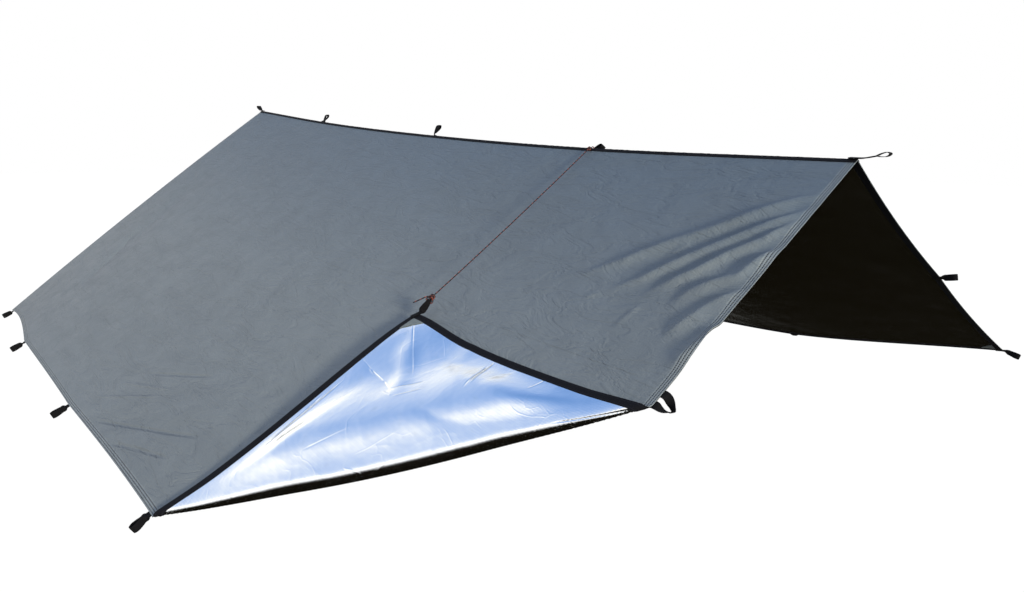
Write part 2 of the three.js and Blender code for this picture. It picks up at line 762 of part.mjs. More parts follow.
// The right side's near loop is sewn down by each end of its webbing, one beside the other. One leg of it:
// distance out in the cloth, share of the reach, share of the half spread and share of the turn to its axis.
const SPREAD_LEG = [
  { out: -8, reach: 0, apart: 1, turn: 0 },
  { out: 13, reach: 0, apart: 1, turn: 0 },
  { out: 17, reach: 0.2, apart: 0.95, turn: 0.25 },
  { out: 17, reach: 0.48, apart: 0.74, turn: 0.5 },
  { out: 17, reach: 0.74, apart: 0.47, turn: 0.78 },
  { out: 17, reach: 0.93, apart: 0.22, turn: 0.95 },
];

function spreadGeometry(loop) {
  const { foot, up, end, flat, beside } = loopWays(loop);
  const base = foot.addScaledVector(up, loop.face * (SHEET / 2 + GAP + TAPE + GAP + WEBBING / 2));
  const eye = new THREE.Vector3().crossVectors(beside, end).normalize();
  const legs = [1, -1].map((side) => SPREAD_LEG.map((row) => ({
    place: base.clone().addScaledVector(flat, row.out).addScaledVector(end, row.reach * loop.reach)
      .addScaledVector(beside, side * row.apart * loop.spread),
    across: beside.clone().multiplyScalar(side).lerp(eye, row.turn).normalize(),
  })));
  const last = SPREAD_LEG[SPREAD_LEG.length - 1];
  const tip = {
    place: base.clone().addScaledVector(flat, last.out).addScaledVector(end, loop.reach),
    across: eye,
  };
  return ribbon([...legs[0], tip, ...legs[1].reverse()]);
}

// One run of webbing through places, closed at both ends
function ribbon(rows) {
  const points = [];
  const indices = [];
  const quad = (p, q, r, s) => indices.push(p, q, r, p, r, s);
  rows.forEach((row, k) => {
    const before = rows[Math.max(0, k - 1)].place;
    const after = rows[Math.min(rows.length - 1, k + 1)].place;
    const frame = { place: row.place, ...webbingFrame(after.clone().sub(before).normalize(), row.across) };
    for (const [side, face] of [[-1, 1], [1, 1], [1, -1], [-1, -1]]) {
      points.push(inFrame(frame, 0, (side * WEBBING_WIDTH) / 2, (face * WEBBING) / 2));
    }
  });
  for (let k = 0; k + 1 < rows.length; k += 1) {
    for (let i = 0; i < 4; i += 1) {
      const n = (i + 1) % 4;
      quad(4 * k + i, 4 * k + n, 4 * k + 4 + n, 4 * k + 4 + i);
    }
  }
  const end = 4 * (rows.length - 1);
  quad(3, 2, 1, 0);
  quad(end, end + 1, end + 2, end + 3);
  return closedGeometry(points, indices);
}

for (const loop of LOOPS) {
  const tipWidth = loop.name === 'turned' ? BUNCHED : WEBBING_WIDTH;
  addPiece(`loop_${loop.name}`, loop.spread ? spreadGeometry(loop) : loopGeometry(loop, tipWidth), BLACK);
}

// Tie-up cord, from the turned corner's loop up to the near side of the ridge, under the ridge loop
function closedCopy(geometry, tolerance) {
  const bare = geometry.clone();
  bare.deleteAttribute('normal');
  bare.deleteAttribute('uv');
  return mergeVertices(bare, tolerance);
}

function solidOf(geometry) {
  const merged = closedCopy(geometry, 1e-4);
  const mesh = new wasm.Mesh({
    numProp: 3,
    vertProperties: merged.attributes.position.array,
    triVerts: Uint32Array.from(merged.index.array),
  });
  return new wasm.Manifold(mesh);
}

function joined(geometries) {
  const solid = geometries.map(solidOf).reduce((whole, next) => whole.add(next));
  const mesh = solid.getMesh();
  const geometry = new THREE.BufferGeometry();
  geometry.setAttribute('position', new THREE.BufferAttribute(mesh.vertProperties, 3));
  geometry.setIndex(Array.from(mesh.triVerts));
  return geometry;
}

function cordTube(points, steps) {
  const section = new THREE.Shape();
  section.absarc(0, 0, CORD / 2, 0, 2 * Math.PI);
  const tube = new THREE.ExtrudeGeometry(section, {
    extrudePath: new THREE.CatmullRomCurve3(points),
    steps,
    curveSegments: ROUND_SEGMENTS,
    bevelEnabled: false,
  });
  return closedCopy(tube, 1e-3);
}

// A knot's body: a lump with two wraps of cord round the way it is pulled, a little askew
const WRAPS = [
  { shift: -0.4, tilt: -0.24 },
  { shift: 0.4, tilt: 0.24 },
];
const WRAP_SEGMENTS = { round: 6, along: 12 };
function knotBody(place, pull, size) {
  const turn = new THREE.Quaternion().setFromUnitVectors(new THREE.Vector3(0, 0, 1), pull);
  const wraps = WRAPS.map((row) => {
    const { round, along } = WRAP_SEGMENTS;
    const wrap = new THREE.TorusGeometry(size - WRAP_IN, CORD / 2, round, along);
    wrap.rotateX(row.tilt);
    wrap.translate(0, 0, row.shift * CORD);
    return wrap;
  });
  return [new THREE.IcosahedronGeometry(size, 1), ...wraps].map((geometry) => {
    geometry.applyQuaternion(turn);
    geometry.translate(place.x, place.y, place.z);
    return geometry;
  });
}

function onRidgeTape(a, b, standOff) {
  return cloth(a, b).addScaledVector(normalOf(cloth, a, b), OVER + TAPE + GAP + standOff);
}

const TIED = loopSpine(LOOPS.find((loop) => loop.name === 'turned')).pop();
const LOW_KNOT = inFrame(TIED, EYE_LENGTH + LOW_PAST_EYE, 0, 0);
const HIGH_KNOT = onRidgeTape(HIGH_AT.a, HIGH_AT.b, HIGH_SIZE - WRAP_IN + CORD / 2);
const PULL = HIGH_KNOT.clone().sub(LOW_KNOT).normalize();

const lowEnd = LOW_KNOT.clone().addScaledVector(PULL, LOW_SIZE + GAP);
const highEnd = HIGH_KNOT.clone().addScaledVector(PULL, -HIGH_SIZE - GAP);
const cordPoints = [];
for (let q = 0; q <= 1; q += 0.125) {
  const point = lowEnd.clone().lerp(highEnd, q);
  point.z -= CORD_SAG * 4 * q * (1 - q);
  cordPoints.push(point);
}
addPiece('cord', cordTube(cordPoints, CORD_STEPS), CORD_BLACK);

// The low knot holds a bight that passes through the loop's eye, and the cord's free tail. Half of the
// bight is given, from the knot round to the middle of the eye, by places from the eye's tip.
const HALF_BIGHT = [
  { along: 7, across: 1.5 },
  { along: 5, across: 6 },
  { along: 1, across: 8.3 },
  { along: -3, across: 8.3 },
  { along: -5, across: 5 },
  { along: -5.2, across: 0 },
];
const otherHalf = HALF_BIGHT.slice(0, -1).reverse().map((row) => ({ ...row, across: -row.across }));
const bight = [...HALF_BIGHT, ...otherHalf];
const bightPoints = bight.map((row) => inFrame(TIED, EYE_LENGTH + row.along, row.across, 0));
const TAIL = [
  { x: -3, y: -2, z: 2 },
  { x: -12, y: -9, z: 0 },
  { x: -24, y: -21, z: -8 },
  { x: -37, y: -31, z: -16 },
];
const tailPoints = TAIL.map((row) => LOW_KNOT.clone().add(new THREE.Vector3(row.x, row.y, row.z)));
addPiece('knot_low', joined([
  ...knotBody(LOW_KNOT, PULL, LOW_SIZE),
  cordTube(bightPoints, BIGHT_STEPS),
  cordTube(tailPoints, TAIL_STEPS),
]), CORD_BLACK);

// From the high knot the cord goes over the ridge towards the ridge loop's base
const OVER_RIDGE = [
  { a: 732, b: -5, lift: 0.6 },
  { a: 734, b: 0, lift: 1.6 },
  { a: 736, b: 7, lift: 0 },
];
const overPoints = OVER_RIDGE.map((row) => onRidgeTape(row.a, row.b, CORD / 2 + row.lift));
addPiece('knot_high', joined([
  ...knotBody(HIGH_KNOT, PULL, HIGH_SIZE),
  cordTube([HIGH_KNOT, ...overPoints], TAIL_STEPS),
]), CORD_BLACK);

export default tarp;
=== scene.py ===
"""A square insulated tarp, pitched over its ridge, with one corner turned over and tied up by a cord.

The form of the cloth is worked out from its flat cut, as in the part's source: a is the distance along
the ridge and b the distance across it, in millimetres from the middle. cloth() gives the pitched place
of a flat point. Meshes are made from it in metres, in the row frame.
"""

import math

import bpy
import numpy as np
from mathutils import Matrix, Vector


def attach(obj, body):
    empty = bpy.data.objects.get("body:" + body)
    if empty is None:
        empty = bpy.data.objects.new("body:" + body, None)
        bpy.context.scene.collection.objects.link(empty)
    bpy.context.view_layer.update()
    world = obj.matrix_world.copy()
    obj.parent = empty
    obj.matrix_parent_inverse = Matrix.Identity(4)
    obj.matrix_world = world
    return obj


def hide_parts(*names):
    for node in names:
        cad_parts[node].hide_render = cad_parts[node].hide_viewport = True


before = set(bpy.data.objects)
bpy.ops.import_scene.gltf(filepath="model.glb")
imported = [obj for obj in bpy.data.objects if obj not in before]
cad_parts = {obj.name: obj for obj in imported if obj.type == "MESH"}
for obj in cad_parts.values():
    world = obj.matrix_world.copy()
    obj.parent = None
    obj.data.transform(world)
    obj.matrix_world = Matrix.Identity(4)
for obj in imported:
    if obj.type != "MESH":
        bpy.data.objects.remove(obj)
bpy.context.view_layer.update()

MM = 0.001
ROOT2 = math.sqrt(2)

# Camera, worked out from the tarp's own loops: its place, its yaw, pitch and roll in degrees, and its focal
# length as a share of the picture's width
CAMERA_PLACE = (2.2572, -1.7076, 0.0299)
CAMERA_TURN = (137.736, -12.289, 0.693)
CAMERA_FOCAL = 765.3 / 1024

# Cut of the cloth and its trimmings
PITCH = 750.0
HALF = 2 * PITCH
SHEET = 1.5
TAPE = 1.2
GAP = 0.3
TAPE_WIDTH = 18.0
RIDGE_TAPE_HALF = 11.0
# From the middle to the edge tapes' inner edges
BAND = HALF - TAPE_WIDTH
PATCH = 0.8
PATCH_GAP = 0.6
PATCH_LEG = 45.0
WEBBING = 1.5
WEBBING_WIDTH = 18.0
CORD = 3.0
# From the cloth's middle to what is sewn on it
OVER = SHEET / 2 + GAP

# Where the flat cut's loop points stand, in the ground's frame, as (along, across, height). Five
# stations in each row, from the far end to the near end. The two that are None are worked out.
STATIONS = {
    "near_hem": [(-1547, -1149, 2), (-817, -1232, 37), (-68, -1264, 22), (681, -1277, -14), None],
    "near_mid": [(-1530, -578, 440), (-784, -640, 392), (-40, -652, 350), None, (1442, -626, 286)],
    "ridge": [(-1499, 0, 858), (-750, -10, 797), (-3, 0, 755), (744, -10, 732), (1499, 0, 728)],
    "far_mid": [(-1484, 600, 410), (-738, 590, 375), (5, 605, 320), (750, 600, 325), (1477, 664, 384)],
    "far_hem": [(-1468, 1201, 1), (-725, 1214, -10), (15, 1231, -45), (759, 1243, -36), (1495, 1331, 42)],
}

# The turned corner: where its tip lies, and how far it stands off the panel under it
TIP = np.array([716.0, -632.0, 330.0])
TIP_LIFT = 22.0
HEM_LIFT = 6.0
INNER_LIFT = 16.0
TAUT_LIFT = 16.0
TAUT_SKEW = 2.0
TAUT_REACH = 250.0
FOLD_OUT = 3 * PITCH
FOLD_LENGTH = PITCH * ROOT2
FOLD_RADIUS = 15.0
FOLD_RADIUS_END = 5.0
SWELL = 18.0

# Slack hems draw in between two loops: (side, from, to, depth at the middle)
DRAWN_HEMS = [
    ("near", -1500, -750, 20),
    ("near", -750, 0, 4),
    ("near", 0, 750, 4),
    ("right", -1500, -750, 18),
    ("right", 0, 750, 6),
    ("right", 750, 1500, 6),
    ("left", -1500, 0, 8),
    ("left", 0, 1500, 12),
    ("far", -1500, -750, 14),
    ("far", -750, 0, 14),
    ("far", 0, 750, 14),
    ("far", 750, 1500, 6),
]
DRAW_REACH = 350.0

# Main folds of the cloth, as (from a, from b, to a, to b, half width, rise). A rise below zero is a trough.
FOLDS = [
    (1505, -105, 1080, -485, 17, 6),
    (1505, -165, 1180, -520, 15, 5),
    (1495, -215, 1265, -530, 14, 5),
    (1505, -300, 1350, -535, 15, 5),
    (1490, -430, 1400, -620, 18, 4),
    (1510, -520, 1465, -690, 24, 4),
    (170, -1465, 620, -1290, 30, -6),
    (-1290, -480, -980, -1240, 60, -7),
    (1000, -1430, 1430, -1000, 34, 4),
    (1440, -1440, 1250, -1250, 24, 5),
]


def unit(v):
    return v / np.linalg.norm(v, axis=-1, keepdims=True)


def smooth(x):
    q = np.clip(x, 0, 1)
    return q * q * (3 - 2 * q)


def station_rows():
    """The stations as arrays. The panel hangs TIP_LIFT under the turned tip, and the near side's hem
    line carries on straight from the ridge end through the side's middle loop."""
    rows = {name: np.array([p or (0, 0, 0) for p in places], float) for name, places in STATIONS.items()}
    down, side, foot = rows["ridge"][3], rows["near_mid"][4], rows["near_hem"][3]
    up = unit(np.cross(foot - down, side - down))
    rows["near_mid"][3] = TIP - up * math.copysign(TIP_LIFT, up[2])
    rows["near_hem"][4] = 2 * side - rows["ridge"][4]
    return rows


ROWS = station_rows()


def curve_at(points, place):
    """Catmull-Rom curve through points, at places counted in steps from the first point."""
    padded = np.concatenate([[2 * points[0] - points[1]], points, [2 * points[-1] - points[-2]]])
    i = np.clip(np.floor(place).astype(int), 0, len(points) - 2)
    f = (place - i)[..., None]
    p0, p1, p2, p3 = (padded[i + k] for k in range(4))
    bend = (2 * p0 - 5 * p1 + 4 * p2 - p3) * f**2 + (3 * p1 - p0 - 3 * p2 + p3) * f**3
    return 0.5 * (2 * p1 + (p2 - p0) * f + bend)


def curve_through(points, count):
    """The curve through points, as count places."""
    points = np.asarray(points, float)
    return curve_at(points, np.linspace(0, len(points) - 1, count))


def along_row(row, a):
    """The curve through a row's five stations."""
    return curve_at(ROWS[row], (a + HALF) / PITCH)


def panel(a, b):
    """The panels without folds: each side of the ridge is a parabola through ridge, middle and hem."""
    x = (np.abs(b) / HALF)[..., None]
    near = (b < 0)[..., None]
    middle = np.where(near, along_row("near_mid", a), along_row("far_mid", a))
    hem = np.where(near, along_row("near_hem", a), along_row("far_hem", a))
    top = along_row("ridge", a)
    return top * (1 - x) * (1 - 2 * x) + middle * 4 * x * (1 - x) + hem * x * (2 * x - 1)


def normal_of(surface, a, b, h=0.5):
    """Outward normal of a surface at flat points, taken on one side of the ridge."""
    low = np.where((b > 0) & (b < h), 0, b - h)
    high = np.where((b < 0) & (b > -h), 0, b + h)
    da = surface(a + h, b) - surface(a - h, b)
    db = surface(a, high) - surface(a, low)
    return unit(np.cross(da, db))


def fold_height(a, b):
    height = np.zeros_like(a)
    for from_a, from_b, to_a, to_b, width, rise in FOLDS:
        da, db = to_a - from_a, to_b - from_b
        length2 = da * da + db * db
        q = ((a - from_a) * da + (b - from_b) * db) / length2
        off = ((a - from_a) * db - (b - from_b) * da) / math.sqrt(length2)
        fade = smooth(q / 0.25) * smooth((1 - q) / 0.4)
        height += rise * fade * np.exp(-((off / width) ** 2))
    return height


def draw_in(a, b):
    da = np.zeros_like(a)
    db = np.zeros_like(a)
    for side, start, end, depth in DRAWN_HEMS:
        place = a if side in ("near", "far") else b
        q = np.clip((place - start) / (end - start), 0, 1)
        across = {"near": b, "far": -b, "left": a, "right": -a}[side]
        shift = depth * 4 * q * (1 - q) * (1 - smooth((across + HALF) / DRAW_REACH))
        db += shift * (side == "near") - shift * (side == "far")
        da += shift * (side == "left") - shift * (side == "right")
    return a + da, b + db


def fold_place(a, b):
    """Distance past the fold line of the turned corner, and along it from the near hem."""
    return (a - b - FOLD_OUT) / ROOT2, (a - PITCH + b + HALF) / ROOT2


def fold_radius(along):
    q = np.clip(along / FOLD_LENGTH, 0, 1)
    return FOLD_RADIUS_END + (FOLD_RADIUS - FOLD_RADIUS_END) * smooth(3.2 * np.minimum(q, 1 - q))


def swell_width(along):
    """How far past the fold the cloth goes on swelling up. It narrows to the right side's loop."""
    return np.minimum(60 + 90 * smooth(along / 450), 25 + 0.32 * np.maximum(FOLD_LENGTH - along, 0))


def turned_lift(along, beyond, radius):
    """How far the turned corner stands off the panel under it."""
    width = swell_width(along)
    swell = SWELL * smooth(along / 300) * smooth((FOLD_LENGTH - along) / 200)
    crest = 2 * radius + swell * smooth(beyond / width)
    inner = crest + (INNER_LIFT - crest) * smooth((beyond - width) / 180)
    q = np.clip(2 * beyond / FOLD_LENGTH, 0, 1)
    by_near_hem = smooth(1 - (along - beyond) / ROOT2 / TAUT_REACH)
    hem = HEM_LIFT + (TIP_LIFT - HEM_LIFT) * q * by_near_hem
    to_hem = np.minimum(along - beyond, FOLD_LENGTH - along - beyond) / ROOT2
    lift = hem + (inner - hem) * smooth(to_hem / 120)
    tip = smooth((beyond - 380) / 150)
    skewed = q**TAUT_SKEW
    taut = TAUT_LIFT * 4 * skewed * (1 - skewed) * by_near_hem
    return lift * (1 - tip) + TIP_LIFT * tip + taut


def pitched(flat_a, flat_b, height_of):
    """Place of a flat point of the pitched tarp in the ground's frame, with height_of for its folds."""
    a, b = draw_in(flat_a, flat_b)
    beyond, along = fold_place(a, b)
    radius = fold_radius(along)
    start = -math.pi * radius / 2
    height = height_of(flat_a, flat_b)[..., None]
    open_cloth = panel(a, b) + normal_of(panel, a, b) * height
    step = (np.where(beyond > -start, -beyond, start) - beyond) / ROOT2
    foot_a, foot_b = a + step, b - step
    up = normal_of(panel, foot_a, foot_b)
    foot = panel(foot_a, foot_b) + up * height_of(foot_a, foot_b)[..., None]
    out = unit(panel(foot_a + 1, foot_b - 1) - panel(foot_a - 1, foot_b + 1))
    turn = ((beyond - start) / radius)[..., None]
    r = radius[..., None]
    curled = foot + out * r * np.sin(turn) + up * r * (1 - np.cos(turn))
    blend = smooth((beyond + start) / 80)
    lift = 2 * radius * (1 - blend) + turned_lift(along, beyond, radius) * blend
    turned = foot + up * (lift[..., None] + height * blend[..., None])
    past, begin = beyond[..., None], start[..., None]
    return np.where(past <= begin, open_cloth, np.where(past <= -begin, curled, turned))


MIDDLE = pitched(np.array([0.0]), np.array([0.0]), fold_height)[0]


# Creases finer than the main folds. They have a sharp crest. (half width, rise, flat places a, b)
CREASES = [
    (
        14,
        7.5,
        [(1505, -110), (1410, -180), (1310, -280), (1240, -330), (1160, -410), (1080, -470), (1000, -500)],
    ),
    (12, 7.0, [(1505, -160), (1420, -250), (1365, -310), (1320, -360), (1250, -450), (1150, -530)]),
    (12, 8.0, [(1490, -200), (1450, -290), (1400, -345), (1360, -410), (1310, -460), (1265, -510)]),
    (12, 7.0, [(1505, -290), (1480, -330), (1460, -400), (1420, -430), (1385, -460), (1350, -520)]),
    (12, 6.0, [(1490, -430), (1450, -485), (1425, -550), (1400, -600)]),
    (18, 6.0, [(1510, -520), (1490, -600), (1475, -660)]),
    (8, 2.4, [(1290, -320), (1250, -380)]),
    (8, 2.2, [(1170, -510), (1140, -545)]),
    (8, 2.4, [(1300, -520), (1280, -600)]),
]
# Creases of the turned corner. (half width, rise, places along the fold and past it)
TURNED_CREASES = [
    (12, 1.2, [(535, 490), (540, 400), (555, 280)]),
    (13, -1.4, [(410, 385), (440, 340), (480, 290), (505, 245), (600, 245)]),
    (26, -2.2, [(550, 170), (600, 135), (650, 100), (700, 75), (800, 60), (900, 55), (1000, 20)]),
    (34, 1.6, [(660, 300), (720, 380)]),
    (30, -1.5, [(720, 180), (820, 240)]),
]
# Straight lines on the outer face, too fine for the mesh. (from a, from b, to a, to b, half width, rise)
PRESSED = [
    (765, -685, 1465, -690, 4, 1.1),
    (-720, -645, -305, -660, 4, 1.0),
    (90, -660, 465, -680, 4, 1.1),
    (-655, -1065, -280, -1050, 4, 1.1),
    (35, -1055, 520, -1080, 4, 1.1),
    (175, -1480, 600, -1310, 11, -4.0),
    (355, -1480, 590, -1400, 10, -3.5),
    (120, -1280, 370, -1170, 10, -3.0),
    (-1200, -850, -950, -1240, 30, -5.0),
    (70, -1350, 300, -1270, 9, 2.2),
    (40, -1440, 300, -1300, 8, 2.0),
]
# Straight fine creases of the turned corner. (from along, from past, to along, to past, rise)
FOIL_LINES = [
    (410, 385, 440, 340, -1.12),
    (440, 340, 480, 290, -1.12),
    (480, 290, 505, 245, -1.12),
    (505, 245, 600, 245, -0.96),
    (490, 240, 520, 210, 0.8),
    (520, 205, 600, 210, 0.8),
    (745, 270, 700, 170, -0.8),
    (760, 280, 715, 180, 0.8),
    (840, 130, 880, 170, 0.64),
    (200, 130, 380, 330, 0.8),
    (220, 160, 330, 290, -0.8),
    (360, 380, 420, 440, 0.8),
    (410, 385, 455, 315, 0.8),
    (330, 90, 440, 125, -0.64),
    (535, 490, 555, 280, -0.96),
    (1040, 5, 880, 25, -1.12),
]


def on_turned_corner(along, beyond):
    """Flat place of a place on the turned corner."""
    return (ROOT2 * (along + beyond) + HALF) / 2, (ROOT2 * (along - beyond) - 2 * HALF) / 2


# How far a crease goes on shaping the cloth, in half widths
CREASE_REACH = 4


def crease(height, a, b, half_width, rise, places):
    """Adds one crease to the height, from its first place to its last."""
    places = np.array(places, float)
    reach = CREASE_REACH * half_width
    low, high = places.min(axis=0) - reach, places.max(axis=0) + reach
    near = np.nonzero((a > low[0]) & (a < high[0]) & (b > low[1]) & (b < high[1]))
    if not len(near[0]):
        return
    spots = np.stack([a[near], b[near]], axis=1)
    steps = np.diff(places, axis=0)
    lengths = np.linalg.norm(steps, axis=1)
    nearest = np.full(len(spots), np.inf)
    share = np.zeros(len(spots))
    gone = 0.0
    for start, step, length in zip(places, steps, lengths):
        q = np.clip((spots - start) @ step / length**2, 0, 1)
        off = np.linalg.norm(spots - start - q[:, None] * step, axis=1)
        closer = off < nearest
        nearest = np.where(closer, off, nearest)
        share = np.where(closer, (gone + q * length) / lengths.sum(), share)
        gone += length
    fade = smooth(share / 0.2) * smooth((1 - share) / 0.35)
    away = nearest / half_width
    height[near] += rise * fade * (1 - smooth(away / CREASE_REACH)) / (0.7 + 0.3 * away + away**2)


def crease_height(a, b):
    height = fold_height(a, b)
    for half_width, rise, places in CREASES:
        crease(height, a, b, half_width, rise, places)
    for half_width, rise, places in TURNED_CREASES:
        crease(height, a, b, half_width, rise, [on_turned_corner(*place) for place in places])
    return height


def cloth(a, b):
    """Place of a flat point in the row frame, in millimetres, with its creases."""
    return pitched(a, b, crease_height) - MIDDLE


# Edges are sharp from this angle on, in degrees
SHARP_FROM = 55


def add_mesh(name, points, faces, spots, materials, slot, replaced, face_materials=None):
    """A piece of the tarp. Points and spots, the points' places for their material, are in millimetres."""
    mesh = bpy.data.meshes.new(name)
    mesh.from_pydata((np.asarray(points) * MM).tolist(), [], faces)
    for material in materials:
        mesh.materials.append(material)
    if face_materials is not None:
        mesh.polygons.foreach_set("material_index", face_materials)
    attribute = mesh.attributes.new("spot", "FLOAT_VECTOR", "POINT")
    attribute.data.foreach_set("vector", (spots * MM).astype(np.float32).ravel())
    mesh.validate()
    mesh.update()
    mesh.shade_smooth()
    mesh.set_sharp_from_angle(angle=math.radians(SHARP_FROM))
    piece = bpy.data.objects.new(name, mesh)
    bpy.context.scene.collection.objects.link(piece)
    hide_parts(*replaced)
    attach(piece, "root")
    return piece


TUBE_SIDES = 10


def tube(route, radius):
    """Points, faces and spots of a round tube along a route, with closed ends."""
    route = np.asarray(route, float)
    ways = unit(np.gradient(route, axis=0))
    across = unit(np.cross(ways[0], (0.31, 0.52, 0.8)))
    points, along, around = [], [], []
    steps = np.linalg.norm(np.diff(route, axis=0), axis=1)
    distance = np.concatenate([[0], np.cumsum(steps)])
    for place, way, far in zip(route, ways, distance):
        across = unit(across - way * across.dot(way))
        other = np.cross(way, across)
        for k in range(TUBE_SIDES):
            angle = 2 * math.pi * k / TUBE_SIDES
            points.append(place + radius * (across * math.cos(angle) + other * math.sin(angle)))
            along.append(far)
            around.append(k / TUBE_SIDES)
    faces = []
    for i in range(len(route) - 1):
        ring, next_ring = i * TUBE_SIDES, (i + 1) * TUBE_SIDES
        for k in range(TUBE_SIDES):
            n = (k + 1) % TUBE_SIDES
            faces.append((ring + k, ring + n, next_ring + n, next_ring + k))
    faces.append(tuple(reversed(range(TUBE_SIDES))))
    faces.append(tuple(range(len(points) - TUBE_SIDES, len(points))))
    spots = np.stack([along, np.array(around) * 2 * math.pi * radius, np.zeros(len(along))], axis=1)
    return np.array(points), faces, spots


def make_camera():
    yaw, pitch, roll = (math.radians(x) for x in CAMERA_TURN)
    ahead = Vector((math.cos(yaw) * math.cos(pitch), math.sin(yaw) * math.cos(pitch), math.sin(pitch)))
    right = ahead.cross(Vector((0, 0, 1))).normalized()
    up = right.cross(ahead)
    turned_right = right * math.cos(roll) + up * math.sin(roll)
    turned_up = up * math.cos(roll) - right * math.sin(roll)
    data = bpy.data.cameras.new("camera")
    data.lens = CAMERA_FOCAL * data.sensor_width
    data.clip_start, data.clip_end = 0.05, 60
    camera = bpy.data.objects.new("camera", data)
    bpy.context.scene.collection.objects.link(camera)
    turn = Matrix((turned_right, turned_up, -ahead)).transposed()
    camera.matrix_world = Matrix.Translation(CAMERA_PLACE) @ turn.to_4x4()
    bpy.context.scene.camera = camera


make_camera()


# Materials. Their patterns are set out on the flat cut, by the point attribute "spot" in metres.
class Value:
    """A number at a socket, which can be used in sums. Each operator adds a Math node."""

    def __init__(self, nodes, socket):
        self.nodes = nodes
        self.socket = socket

    def sum_with(self, operation, *others, turned=False):
        terms = (*others, self) if turned else (self, *others)
        return self.nodes.add("ShaderNodeMath", {"operation": operation}, dict(enumerate(terms)))

    def __add__(self, other):
        return self.sum_with("ADD", other)

    def __sub__(self, other):
        return self.sum_with("SUBTRACT", other)

    def __rsub__(self, other):
        return self.sum_with("SUBTRACT", other, turned=True)

    def __mul__(self, other):
        return self.sum_with("MULTIPLY", other)

    def __truediv__(self, other):
        return self.sum_with("DIVIDE", other)

    def __abs__(self):
        return self.sum_with("ABSOLUTE")

    __radd__ = __add__
    __rmul__ = __mul__

    def least(self, other):
        return self.sum_with("MINIMUM", other)

    def most(self, other):
        return self.sum_with("MAXIMUM", other)

    def wave(self, length):
        """A sine over this length, from 0 to 1."""
        return (self * (2 * math.pi / length)).sum_with("SINE") * 0.5 + 0.5

    def repeat(self, length):
        """Distance from the nearest multiple of this length."""
        return self.sum_with("PINGPONG", length / 2)


class Nodes:
    """The nodes of one material or of the sky."""

    def __init__(self, tree):
        self.tree = tree

    def add(self, kind, settings=None, values=None, output=0):
        """Adds a node. Its settings come first, then the values or links of its sockets."""
        node = self.tree.nodes.new(kind)
        for name, setting in (settings or {}).items():
            if name == "stops":
                self.set_stops(node.color_ramp, setting)
            else:
                setattr(node, name, setting)
        for name, value in (values or {}).items():
            self.set(node.inputs[name], value)
        return Value(self, node.outputs[output]) if node.outputs else None

    def set_stops(self, ramp, stops):
        while len(ramp.elements) < len(stops):
            ramp.elements.new(0.5)
        for element, (place, colour) in zip(ramp.elements, stops):
            element.position = place
            element.color = (*colour, 1)

    def set(self, socket, value):
        if isinstance(value, Value):
            self.tree.links.new(value.socket, socket)
        elif isinstance(value, tuple) and len(value) == 3 and socket.type == "RGBA":
            socket.default_value = (*value, 1)
        else:
            socket.default_value = value

    def rise(self, value, low, high):
        """0 below low and 1 above high, smooth between them."""
        values = {"Value": value, "From Min": low, "From Max": high}
        return self.add("ShaderNodeMapRange", {"interpolation_type": "SMOOTHSTEP"}, values)

    def line(self, distance, half_width):
        """1 at distance 0, fading to 0 at the half width."""
        return 1 - self.rise(abs(distance), half_width * 0.4, half_width)

    def scaled(self, vector, sizes):
        return self.add("ShaderNodeVectorMath", {"operation": "MULTIPLY"}, {0: vector, 1: sizes})

    def shifted(self, vector, amount, most):
        """Moves a place by an amount of 0 to 1, up to this many metres each way."""
        shift = self.add("ShaderNodeCombineXYZ", {}, {0: amount * most, 1: amount * -most})
        return self.add("ShaderNodeVectorMath", {"operation": "ADD"}, {0: vector, 1: shift})

    def noise(self, vector, scale, detail, rough, bent=0.0):
        values = {"Vector": vector, "Scale": scale, "Detail": detail}
        values |= {"Roughness": rough, "Distortion": bent}
        return self.add("ShaderNodeTexNoise", {"noise_dimensions": "2D"}, values)

    def facets(self, vector, scale):
        """Distance from scattered points, which makes flat-sided crumples."""
        settings = {"voronoi_dimensions": "2D"}
        return self.add("ShaderNodeTexVoronoi", settings, {"Vector": vector, "Scale": scale})

    def edges(self, vector, scale):
        """Distance from the edges of the cells round scattered points, a net of straight lines."""
        settings = {"voronoi_dimensions": "2D", "feature": "DISTANCE_TO_EDGE"}
        return self.add("ShaderNodeTexVoronoi", settings, {"Vector": vector, "Scale": scale})

    def mixed(self, share, first, second):
        """Colours mixed by a share. A mix node has its two colours at the sockets 6 and 7."""
        values = {0: share, 6: first, 7: second}
        return self.add("ShaderNodeMix", {"data_type": "RGBA"}, values, output=2)


class Finish(Nodes):
    """A material on the flat cut: spot is the place on it, a and b its two distances in metres."""

    def __init__(self, name, **constants):
        self.material = bpy.data.materials.new(name)
        self.material.use_nodes = True
        super().__init__(self.material.node_tree)
        self.shader = self.tree.nodes["Principled BSDF"]
        self.wear(**constants)
        self.spot = self.add("ShaderNodeAttribute", {"attribute_name": "spot"}, output="Vector")
        self.a = self.add("ShaderNodeSeparateXYZ", {}, {0: self.spot}, output="X")
        self.b = self.add("ShaderNodeSeparateXYZ", {}, {0: self.spot}, output="Y")

    def bump(self, height, distance):
        """Relief from a height of 0 to 1 over a distance in metres, over any relief that is there."""
        values = {"Height": height, "Distance": distance, "Strength": 1.0}
        socket = self.shader.inputs["Normal"]
        if socket.links:
            values["Normal"] = Value(self, socket.links[0].from_socket)
        self.set(socket, self.add("ShaderNodeBump", {}, values))

    def wear(self, **sockets):
        """Sets what the surface is like, by constants or by what varies over it."""
        for label, value in sockets.items():
            self.set(self.shader.inputs[label.replace("_", " ")], value)


